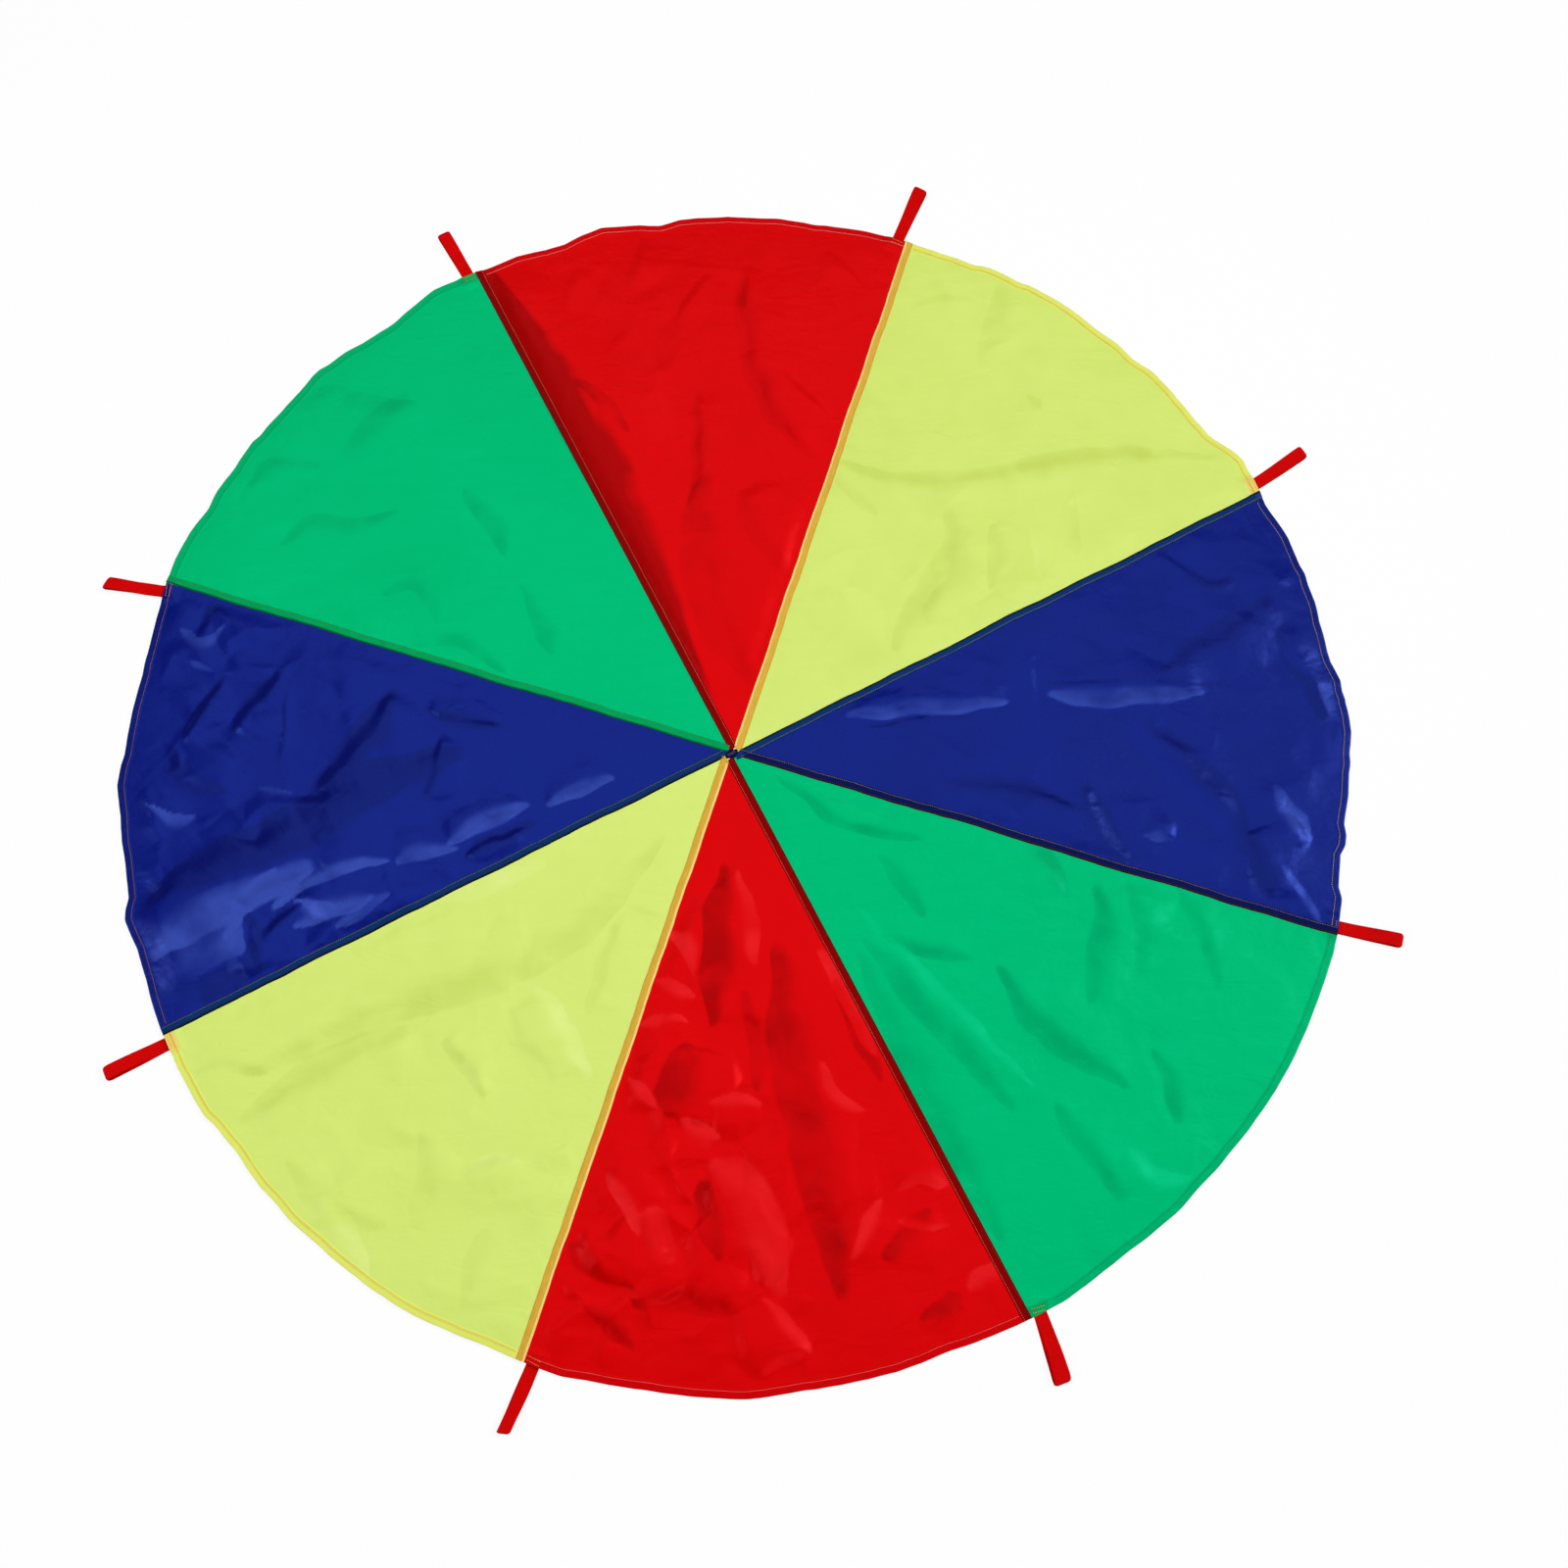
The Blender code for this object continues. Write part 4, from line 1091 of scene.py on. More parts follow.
class Graph:
    """The nodes of a material or of the world, made one call at a time."""

    def __init__(self, owner):
        owner.use_nodes = True
        self.owner = owner
        self.tree = owner.node_tree
        self.tree.nodes.clear()

    def node(self, kind, settings=None, sockets=None, output=0):
        """Makes a node, sets it up, then gives its sockets values or links. An end node has no output."""
        made = self.tree.nodes.new(kind)
        for key, value in (settings or {}).items():
            if key == "stops":
                for stop, (position, grey) in zip(made.color_ramp.elements, value):
                    stop.position, stop.color = position, (grey, grey, grey, 1)
            else:
                setattr(made, key, value)
        for key, value in (sockets or {}).items():
            self.feed(made.inputs[key], value)
        return Field(self, made.outputs[output]) if made.outputs else None

    def feed(self, socket, value):
        if isinstance(value, Field):
            self.tree.links.new(value.socket, socket)
        elif socket.type == "RGBA" and len(value) == 3:
            socket.default_value = (*value, 1)
        else:
            socket.default_value = value

    def maths(self, operation, first, second):
        return self.node("ShaderNodeMath", {"operation": operation}, {0: first, 1: second})

    def mix(self, factor, first, second):
        """One colour blended into another."""
        return self.node("ShaderNodeMix", {"data_type": "RGBA"}, {0: factor, 6: first, 7: second}, output=2)

    def place(self):
        return self.node("ShaderNodeTexCoord", output="Object")

    def lay(self):
        """The place along and across a strip or a band, from its own UV map."""
        return self.node("ShaderNodeUVMap", {"uv_map": "lay"})

    def across(self, lay):
        return self.node("ShaderNodeSeparateXYZ", None, {"Vector": lay}, output="Y")

    def from_middle(self, value):
        """How far a number from 0 to 1 is from a half, both ways alike."""
        return self.node("ShaderNodeMath", {"operation": "ABSOLUTE"}, {0: value - 0.5})

    def noise(self, place, scale, detail=3.0, roughness=0.5, distortion=0.0):
        return self.node("ShaderNodeTexNoise", None, {
            "Vector": place, "Scale": scale, "Detail": detail, "Roughness": roughness,
            "Distortion": distortion,
        })

    def stretched(self, place, scale, turn=0.0):
        """The place turned and scaled for a pattern that is longer one way."""
        sockets = {"Vector": place, "Scale": scale, "Rotation": (0, 0, turn)}
        return self.node("ShaderNodeMapping", None, sockets)

    def stripes(self, place, scale, direction, distortion=0.0):
        settings = {"wave_type": "BANDS", "bands_direction": direction}
        sockets = {"Vector": place, "Scale": scale, "Distortion": distortion}
        return self.node("ShaderNodeTexWave", settings, sockets)

    def bump(self, height, distance):
        return self.node("ShaderNodeBump", None, {"Height": height, "Distance": distance})

    def attribute(self, name):
        return self.node("ShaderNodeAttribute", {"attribute_name": name}, output="Fac")

    def surface(self, base, roughness, normal, gloss, glint):
        """Ends the material in a Principled shader with the strength and the tint of its gloss."""
        shader = self.node("ShaderNodeBsdfPrincipled", None, {
            "Base Color": base, "Roughness": roughness, "Normal": normal,
            "Specular IOR Level": gloss, "Specular Tint": glint,
        })
        self.node("ShaderNodeOutputMaterial", None, {"Surface": shader})
        return self.owner


def toned(tint, brightness):
    return tuple(min(1.0, part * brightness) for part in tint)


def blended(first, second, share):
    return tuple(a + (b - a) * share for a, b in zip(first, second))


# Yarns of the taffeta: the scale of its crossed ribs, lengthwise and across
WARP, WEFT = 260.0, 310.0

# How much of its own colour a flank's painted highlight, a flank's painted shade, the hem and the cloth
# over a tail take at most
PAINTED_HIGHLIGHT_SHARE = 0.62
PAINTED_SHADE_SHARE = 0.72
HEM_SHARE = 0.55
TAIL_SHARE = 0.75


def taffeta(cloth, tint):
    """Thin close-woven polyester: crossed ribs of yarn, fine crinkles, clouds of tone, painted highlight
    and painted shade on the flanks of folds, and darker where the hem or a handle's webbing lies under it."""
    look = CLOTH_LOOKS[cloth]
    shade, hem_tint, tail_tint, painted_shade, pale = (
        on_screen(*look[key]) for key in ("shade", "hem", "tail", "painted_shade", "pale")
    )
    graph = Graph(bpy.data.materials.new(f"{cloth} taffeta"))
    place = graph.place()
    clouds = graph.noise(place, scale=5.0, detail=4.0, roughness=0.55)
    streaks = graph.noise(graph.stretched(place, (9.0, 70.0, 1.0), turn=0.5), scale=1.0)
    base = graph.mix((clouds - 0.5) * 0.5 + (streaks - 0.5) * 0.35 + 0.42, tint, shade)
    # Painted highlight (the pale colour) and painted shade on the folds' flanks, from the tone attribute
    tone = graph.attribute("tone") * (clouds * 0.6 + 0.7)
    base = graph.mix(tone.between(0.0, PAINTED_LIGHT_LIMIT) * PAINTED_HIGHLIGHT_SHARE, base, pale)
    base = graph.mix((0.0 - tone).between(0.0, 1.0) * PAINTED_SHADE_SHARE, base, painted_shade)
    base = graph.mix(graph.attribute("hem") * HEM_SHARE, base, hem_tint)
    base = graph.mix(graph.attribute("tail") * TAIL_SHARE, base, tail_tint)
    yarns = graph.stripes(place, WARP, "X") * graph.stripes(place, WEFT, "Y")
    crinkle = graph.noise(place, scale=34.0, roughness=0.55, distortion=0.8)
    sharp = 1.0 - graph.from_middle(crinkle).between(0.0, 0.16)
    patches = clouds.between(0.45, 0.7)
    soft = graph.noise(
        graph.stretched(place, (14.0, 26.0, 1.0), turn=1.1), scale=1.0, detail=2.0, distortion=1.4,
    )
    fine = graph.noise(place, scale=210.0)
    height = yarns * 0.05 + sharp * patches * 0.16 + soft * 1.1 + fine * 0.08
    rough = look["roughness"] + (clouds - 0.5) * 0.10 + (crinkle - 0.5) * 0.08
    normal = graph.bump(height, distance=0.0010)
    return graph.surface(base, rough, normal, gloss=look["gloss"], glint=look["glint"])


def own_glint(tint, share):
    """A gloss that takes its colour from the piece's own tint, by a share."""
    return blended((1, 1, 1), toned(tint, 3), share)


# Where the strip's folded edge has its own tint, with its painted light along the fold, as shares of the
# strip's width
FOLDED_EDGE = (0.20, 0.26)


def seam_cloth(name, tint, edge_tint_and_painted_light, roughness):
    """Four layers of cloth: the layers under it show through as darker threads of tone along the seam,
    and its folded edge has its own tint: the doubled cloth's colour, with painted shade along the fold
    where that tint is darker and a painted highlight where it is paler."""
    graph = Graph(bpy.data.materials.new(name))
    place, lay = graph.place(), graph.lay()
    clouds = graph.noise(place, scale=38.0, detail=4.0, roughness=0.6)
    raw_edges = graph.noise(graph.stretched(lay, (60.0, 9.0, 1.0)), scale=1.0, detail=2.0)
    base = graph.mix((clouds - 0.5) * 0.5 + (raw_edges - 0.5) * 1.2 + 0.3, tint, toned(tint, 0.66))
    base = graph.mix(1.0 - graph.across(lay).between(*FOLDED_EDGE), base, edge_tint_and_painted_light)
    crinkle = graph.noise(graph.stretched(lay, (120.0, 2.0, 1.0)), scale=1.0)
    height = graph.stripes(place, WARP, "DIAGONAL") * 0.05 + crinkle * 0.5 + clouds * 0.35
    normal = graph.bump(height, distance=0.0008)
    rough = roughness + (clouds - 0.5) * 0.1
    return graph.surface(base, rough, normal, gloss=0.35, glint=own_glint(tint, 0.97))


def sewing_thread(name, tint, drawn_in=None):
    """Twisted polyester thread. A row that is drawn into a seam's edge has its own tint."""
    graph = Graph(bpy.data.materials.new(name))
    grain = graph.noise(graph.place(), scale=900.0, detail=2.0)
    base = graph.mix(grain, toned(tint, 0.85), toned(tint, 1.1))
    if drawn_in is not None:
        base = graph.mix(graph.attribute("edge_row"), base, drawn_in)
    normal = graph.bump(grain, distance=0.0002)
    return graph.surface(base, grain * 0.2 + 0.5, normal, gloss=0.3, glint=(1, 1, 1))


def webbing_weave(name, tint):
    """Woven webbing: ribs of twisted yarn run across it, crossed by a finer herringbone, with plain
    edges that are a little darker and fluffed."""
    graph = Graph(bpy.data.materials.new(name))
    place, lay = graph.place(), graph.lay()
    ribs = graph.stripes(lay, 170.0, "X", distortion=0.6)
    twill = graph.stripes(graph.stretched(lay, (1.0, 0.025, 1.0)), WARP, "DIAGONAL", distortion=0.4)
    fluff = graph.noise(place, scale=420.0, detail=4.0, roughness=0.7)
    clouds = graph.noise(place, scale=42.0)
    edge = graph.from_middle(graph.across(lay)).between(0.40, 0.5)
    base = graph.mix((1.0 - ribs) * 0.30 + (clouds - 0.35) * 0.55 + edge * 0.25, tint, toned(tint, 0.55))
    height = ribs * 0.55 + twill * 0.25 + fluff * 0.35
    rough = 0.72 + (fluff - 0.5) * 0.2
    normal = graph.bump(height, distance=0.0005)
    return graph.surface(base, rough, normal, gloss=0.25, glint=own_glint(tint, 0.9))


# What each seam shows: the strip's tint, its folded edge's tint, with painted shade along the fold on most
# seams and a painted highlight on seams 2 and 6, and its thread's, as the screen shows them
SEAM_TINTS = {
    1: ((12, 50, 104), (1, 3, 14), (150, 134, 96)),
    2: ((222, 176, 66), (240, 214, 130), (232, 140, 30)),
    3: ((134, 0, 0), (96, 0, 0), (230, 120, 96)),
    4: ((0, 158, 86), (4, 84, 58), (76, 96, 34)),
    5: ((12, 48, 100), (1, 3, 14), (134, 112, 100)),
    6: ((218, 170, 60), (238, 214, 130), (228, 136, 34)),
    7: ((134, 0, 0), (96, 0, 2), (230, 110, 90)),
    8: ((9, 22, 80), (40, 4, 26), (160, 128, 96)),
}

# The hem's thread in each gore, as the screen shows it
HEM_THREADS = {
    1: (234, 176, 8), 2: (250, 160, 140), 3: (0, 120, 62), 4: (176, 120, 96),
    5: (230, 170, 10), 6: (244, 120, 100), 7: (20, 116, 50), 8: (204, 164, 116),
}

# Each cloth's other colours as the screen shows them, in its clouds, on the hem, over a tail, and its
# painted shade and painted highlight on a fold's flanks, then its roughness, and the strength and tint of
# its gloss
CLOTH_LOOKS = {
    "yellow": {
        "shade": (203, 224, 98), "hem": (228, 228, 84), "tail": (234, 196, 100), "painted_shade": (190, 210, 84),
        "pale": (242, 250, 176), "roughness": 0.36, "gloss": 0.5, "glint": (0.85, 1.0, 0.75),
    },
    "red": {
        "shade": (198, 2, 3), "hem": (186, 0, 6), "tail": (190, 6, 6), "painted_shade": (132, 0, 0),
        "pale": (244, 44, 48), "roughness": 0.30, "gloss": 0.9, "glint": (1.0, 0.02, 0.03),
    },
    "green": {
        "shade": (0, 170, 96), "hem": (0, 158, 92), "tail": (8, 150, 66), "painted_shade": (0, 142, 80),
        "pale": (18, 208, 144), "roughness": 0.34, "gloss": 0.6, "glint": (0.0, 1.0, 0.66),
    },
    "blue": {
        "shade": (9, 15, 104), "hem": (8, 14, 84), "tail": (12, 16, 90), "painted_shade": (4, 8, 84),
        "pale": (62, 84, 178), "roughness": 0.27, "gloss": 0.85, "glint": (0.08, 0.17, 0.92),
    },
}

# The middle's cloth, its folded edge, its thread and the tacks' thread, as the screen shows them
MIDDLE_TINT, MIDDLE_EDGE_TINT = (9, 16, 60), (6, 10, 40)
MIDDLE_ROUGHNESS = 0.4
BAR_TACK_TINT = (112, 96, 92)
TACK_TINT = (236, 150, 60)


# Operators

# A gore's grid: how far its rows stop short of the hem's inner edge, the rows about that edge, how many
# follow on the hem and how far out from it, how far from the rim they stop, and over what depth the rim is
# rounded
STEP_MARGIN = 0.0010
STEP_ROWS = (-0.0006, -0.0002, 0.0004, 0.0012)
HEM_ROWS, HEM_ROWS_FROM = 5, 0.004
RIM_MARGIN = 0.0004
RIM_ROUNDING = 0.0005

# How softly the tint over a tail ends at the tail's inner end
TAIL_EDGE = 0.002

# The angles in degrees over which the edges of each kind of piece are sharp
GORE_SHARP, STRIP_SHARP, KNOT_SHARP, STITCH_SHARP, WEBBING_SHARP = 60, 70, 50, 80, 50


class PARACHUTE_OT_gores(bpy.types.Operator):
    """Lays the eight gores of taffeta, each a closed sheet with its hem"""

    bl_idname = "parachute.gores"
    bl_label = "Lay Gores"

    def execute(self, context):
        sizes, colours = context.scene.parachute_sizes, context.scene.parachute_colours
        finishes = {cloth: taffeta(cloth, tuple(getattr(colours, cloth))) for cloth in CLOTHS}
        for gore in range(1, GORES + 1):
            self.lay_gore(sizes, gore, finishes[cloth_colour(gore)])
        return {"FINISHED"}

    def lay_gore(self, sizes, gore, finish):
        """A polar grid: rows go out by radius, closer at the hem, and columns go round between the two
        seams, closer beside them. The upper side is the lie of the cloth plus its layers."""
        step = RADIUS - sizes.hem_width
        radii = np.concatenate([
            np.linspace(TIP_RADIUS, step - STEP_MARGIN, ROWS_OUT), step + np.array(STEP_ROWS),
            np.linspace(step + HEM_ROWS_FROM, RADIUS - RIM_MARGIN, HEM_ROWS), [RADIUS],
        ])
        close = np.array(CLOSE_COLUMNS) / (SECTOR * RADIUS)
        even = np.linspace(close[-1], 1 - close[-1], COLUMNS_ACROSS)[1:-1]
        share = np.concatenate([close, even, 1 - close[::-1]])
        gap = np.arcsin(CLEARANCE / radii)[:, None]
        angle = seam_angle(gore) + gap + share[None, :] * (SECTOR - 2 * gap)
        x, y = radii[:, None] * np.cos(angle), radii[:, None] * np.sin(angle)
        to_edge = RADIUS - np.broadcast_to(radii[:, None], x.shape)
        low = lie(sizes, gore, x, y)
        high = low + sizes.cloth + hem_extra(sizes, to_edge)
        high = high - (1 - rounded(to_edge / RIM_ROUNDING)) * (high - low) * 0.5
        points = two_sides(*wander(sizes, x, y), high, low)
        item = new_piece(f"cloth_gore_{gore}", points, sheet_quads(*x.shape), finish, GORE_SHARP)
        on_tail = ramp(-to_edge, -TAIL_LENGTH - TAIL_EDGE, -TAIL_LENGTH)
        fields = {
            "hem": hem_share(sizes, to_edge),
            "tail": tail_cover(sizes, x, y) ** 2 * on_tail,
            # Painted highlight and painted shade on the folds' flanks
            "tone": painted_fold_light(gore, x, y),
        }
        for name, values in fields.items():
            point_attribute(item, name, np.concatenate([values, values]))
        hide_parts(gore_node(gore))
        f"cloth_{cloth_colour(gore)}"
        carry(item, gore)


# Where a felled seam begins beside the middle, which two of them lie over the knot, how many rows of points
# it has, and where its last rows lie before the rim
SEAM_START, OVERLAPPING_START = 0.0065, 0.004
OVERLAPPING_SEAMS = (1, 5)
STRIP_ROWS = 430
LAST_ROWS = (0.003, 0.0012)

# The columns across a strip, as shares of its width
STRIP_EDGE = (-0.03, 0.0, 0.02, 0.05, 0.09, 0.15, 0.20)
STRIP_MIDDLE = (0.3, 0.4, 0.5, 0.6, 0.7)
STRIP_FAR_EDGE = (0.78, 0.85, 0.90, 0.95, 0.98, 1.0)

# How unevenly wide a strip is, as a share, and over what size, and how high and long its ripples are
STRIP_PLAY, STRIP_PLAY_SIZE = 0.05, 0.07
RIPPLE, RIPPLE_SIZE, RIPPLE_ACROSS = 0.00016, 0.010, 0.004

# The strip's least thickness, and how high its edge stands where it is turned down to the cloth
THIN = 0.00005
TURNED_DOWN = 0.25

# The knot: its grid, its reach, how much further it goes along the seams that lie over it and at its lobes,
# how high it is with its lumps and lobes, and how high its upper and lower sides lie at its rim
KNOT_TURNS, KNOT_RINGS = 96, 14
KNOT_TIP, KNOT_FIRST_RING = 0.02, 0.1
KNOT_REACH = 0.0078
KNOT_LENGTHENING, KNOT_NARROWNESS = 0.55, 6
LOBE_REACH, LOBE_TURN = 0.06, 1
KNOT_HEIGHT = 0.0026
LUMP_HEIGHT, LUMP_SIZE = 0.0004, 0.006
LOBE_HEIGHT = 0.0003
KNOT_RIM_HIGH, KNOT_RIM_LOW = 0.0004, 0.0003


class PARACHUTE_OT_seams(bpy.types.Operator):
    """Lays the eight felled seams and the sewn-over middle"""

    bl_idname = "parachute.seams"
    bl_label = "Lay Seams"

    def execute(self, context):
        sizes = context.scene.parachute_sizes
        for seam in range(1, GORES + 1):
            self.lay_seam(sizes, seam)
        self.lay_middle()
        return {"FINISHED"}

    def lay_seam(self, sizes, seam):
        """A strip: its profile runs across and back underneath, and is carried out along the seam."""
        side, gore = seam_side(seam), seam_gore(seam)
        tint, edge = (on_screen(*colours) for colours in SEAM_TINTS[seam][:2])
        finish = seam_cloth(f"felled seam {seam}", tint, edge, CLOTH_LOOKS[cloth_colour(gore)]["roughness"])
        start = OVERLAPPING_START if seam in OVERLAPPING_SEAMS else SEAM_START
        stations = np.concatenate([
            np.linspace(start, RADIUS - LAST_ROWS[0], STRIP_ROWS), [RADIUS - LAST_ROWS[1], RADIUS],
        ])
        along, depth = np.meshgrid(stations, [*STRIP_EDGE, *STRIP_MIDDLE, *STRIP_FAR_EDGE], indexing="ij")
        play = noise_along(along, STRIP_PLAY_SIZE, SEEDS["seam width"] + seam)
        aside = side * depth * sizes.seam_width * (1 + STRIP_PLAY * play)
        x, y = from_seam(seam, along, aside)
        base = lie(sizes, gore, x, y) + sizes.cloth + hem_extra(sizes, RADIUS - along)
        ripple = RIPPLE * noise(along, depth * RIPPLE_ACROSS, RIPPLE_SIZE, SEEDS["seam ripple"] + seam)
        high = base + seam_profile(sizes, depth) + ripple * np.sin(np.pi * np.clip(depth, 0, 1))
        high[:, 0] = base[:, 0] - sizes.cloth
        high[:, 1] = base[:, 1] + TURNED_DOWN * sizes.seam_height
        low = np.maximum(base - 0.5 * sizes.cloth, THIN)
        low[:, 0] = high[:, 0] - THIN
        quads = sheet_quads(*along.shape)
        if side < 0:
            quads = quads[:, ::-1]
        points = two_sides(*wander(sizes, x, y), high, low)
        item = new_piece(f"felled_strip_{seam}", points, quads, finish, STRIP_SHARP)
        grid_uv(item, np.concatenate([along, along]), np.concatenate([depth, depth]))
        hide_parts(f"felled_seam_{seam}")
        f"seam_{cloth_colour(gore)}"
        carry(item, gore)

    def lay_middle(self):
        """The knot where the seams' ends lie over each other: a low dome, wide along seams 1 and 5, with
        folded ends of the seams showing as lobes round it."""
        tint, edge = on_screen(*MIDDLE_TINT), on_screen(*MIDDLE_EDGE_TINT)
        finish = seam_cloth("sewn-over middle", tint, edge, MIDDLE_ROUGHNESS)
        turn = np.linspace(0, math.tau, KNOT_TURNS, endpoint=False)
        share = np.concatenate([[KNOT_TIP], np.linspace(KNOT_FIRST_RING, 1, KNOT_RINGS - 1)])
        share, turn = np.meshgrid(share, turn, indexing="ij")
        longer = KNOT_LENGTHENING * np.abs(np.cos(turn - seam_angle(1))) ** KNOT_NARROWNESS
        reach = KNOT_REACH * (1 + longer + LOBE_REACH * np.cos(GORES * turn + LOBE_TURN))
        x, y = share * reach * np.cos(turn), share * reach * np.sin(turn)
        lumps = LUMP_HEIGHT * noise(x, y, LUMP_SIZE, SEEDS["knot"])
        crown = KNOT_HEIGHT + lumps + LOBE_HEIGHT * np.cos(GORES * turn) * share
        high = crown * np.sqrt(np.clip(1 - share**4, 0, 1)) + KNOT_RIM_HIGH
        points = two_sides(x, y, high, np.full_like(high, KNOT_RIM_LOW))
        count = KNOT_RINGS * KNOT_TURNS
        upper = grid_quads(KNOT_RINGS, KNOT_TURNS, closed_rows=True)
        lower = grid_quads(KNOT_RINGS, KNOT_TURNS, count, closed_rows=True)[:, ::-1]
        inner = np.arange(KNOT_TURNS)
        outer = inner + count - KNOT_TURNS
        after_inner, after_outer = np.roll(inner, -1), np.roll(outer, -1)
        rim = np.stack([outer, outer + count, after_outer + count, after_outer], axis=1)
        plug = np.stack([after_inner, after_inner + count, inner + count, inner], axis=1)
        quads = np.concatenate([upper, lower, rim, plug])
        item = new_piece("centre_knot", points, quads, finish, KNOT_SHARP)
        grid_uv(item, np.concatenate([x, x]), np.concatenate([share, share]) * 0.4 + 0.4)
        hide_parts("centre_overlap")
        carry(item, 3)


# A stitch's cross-sections: where they stand along it, how thick they are beside the thread, and how high
# its full middle is and how deep its ends dip
STITCH_PLACES = (-0.5, 0.0, 0.5)
STITCH_THICKNESS = (0.35, 1.0, 0.35)
STITCH_LIFT = 0.55
STITCH_DIP = -0.0001
THREAD_CORNERS = (45, 135, 225, 315)


def stitch_points(sizes, centres, heights):
    """Stitches as short four-sided tubes, thin where they dip into the cloth at both ends and full
    between: centres (N, 2) on the path and their heights, and the run of the path is taken from them."""
    run = np.gradient(centres, axis=0)
    run = run / np.linalg.norm(run, axis=1)[:, None]
    across = np.stack([-run[:, 1], run[:, 0]], axis=1)
    spots = np.array(STITCH_PLACES) * sizes.stitch
    full = np.array(STITCH_THICKNESS) * sizes.thread_radius
    rise = np.array([STITCH_DIP, STITCH_LIFT * sizes.thread_radius, STITCH_DIP])
    ring = np.radians(THREAD_CORNERS)
    along = centres[:, None, None, :] + run[:, None, None, :] * spots[None, :, None, None]
    side = across[:, None, None, :] * (full[None, :, None, None] * np.cos(ring)[None, None, :, None])
    flat = along + side
    up = heights[:, None, None] + rise[None, :, None] + full[None, :, None] * np.sin(ring)[None, None, :]
    return np.concatenate([flat, up[..., None]], axis=-1)


# The points of one stitch: its cross-sections by their corners
STITCH_POINTS = len(STITCH_PLACES) * len(THREAD_CORNERS)


def stitch_quads(count):
    """The faces of every stitch: two bands of four and two ends."""
    band = grid_quads(len(STITCH_PLACES), len(THREAD_CORNERS), closed_rows=True)
    ends = np.array([[0, 1, 2, 3], [11, 10, 9, 8]])
    one = np.concatenate([band[:, ::-1], ends[:, ::-1]])
    return (one[None] + STITCH_POINTS * np.arange(count)[:, None, None]).reshape(-1, 4)


def sew(sizes, name, flats, gore, seam, thread, replaced):
    """Rows of stitches along flat paths (each N, 2), set on the uppermost surface. The first row is marked
    as the one that is drawn into a seam's edge."""
    points, edge_row = [], []
    for flat in flats:
        x, y = flat[:, 0], flat[:, 1]
        height = top_height(sizes, gore, x, y, seam)
        moved = np.stack(wander(sizes, x, y), axis=1)
        points.append(stitch_points(sizes, moved, height).reshape(-1, 3))
        edge_row.append(np.full(len(points[-1]), 1.0 if len(points) == 1 else 0.0))
    points = np.concatenate(points)
    item = new_piece(name, points, stitch_quads(len(points) // STITCH_POINTS), thread, STITCH_SHARP)
    point_attribute(item, "edge_row", np.concatenate(edge_row))
    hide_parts(replaced)
    carry(item, gore)


# How much of its own colour the thread that is drawn into a seam's edge keeps; the rest is the folded
# edge's tint with its painted light along the fold
DRAWN_IN_SHARE = 0.12

# Seam rows: where they start, where they stop short of the rim, how far they stray, and over what size
ROW_START, ROW_STOP = 0.012, 0.001
ROW_STRAY, ROW_STRAY_SIZE = 0.0003, 0.06

# The hem's row: how far outside the hem's inner edge it runs, how far it keeps from a seam, how it strays,
# and how far outside it the yellow cloth's second row runs
HEM_ROW = 0.0025
HEM_ROW_GAP = 0.0012
HEM_STRAY, HEM_STRAY_SIZE = 0.0004, 0.08
SECOND_ROW = 0.0017

# The rows over a tail: how far in from the rim they are, and how far from the webbing's edges they stop
TACK_ROWS = (0.0040, 0.0102)
TACK_MARGIN = 0.001

# The bar tack over the knot: its runs, half its length, half its width, and its height at its middle and
# how much lower it is at its ends
BAR_RUNS = 15
BAR_REACH, BAR_ASIDE = 0.0075, 0.0012
BAR_HEIGHT, BAR_FALL = 0.0030, 0.0012


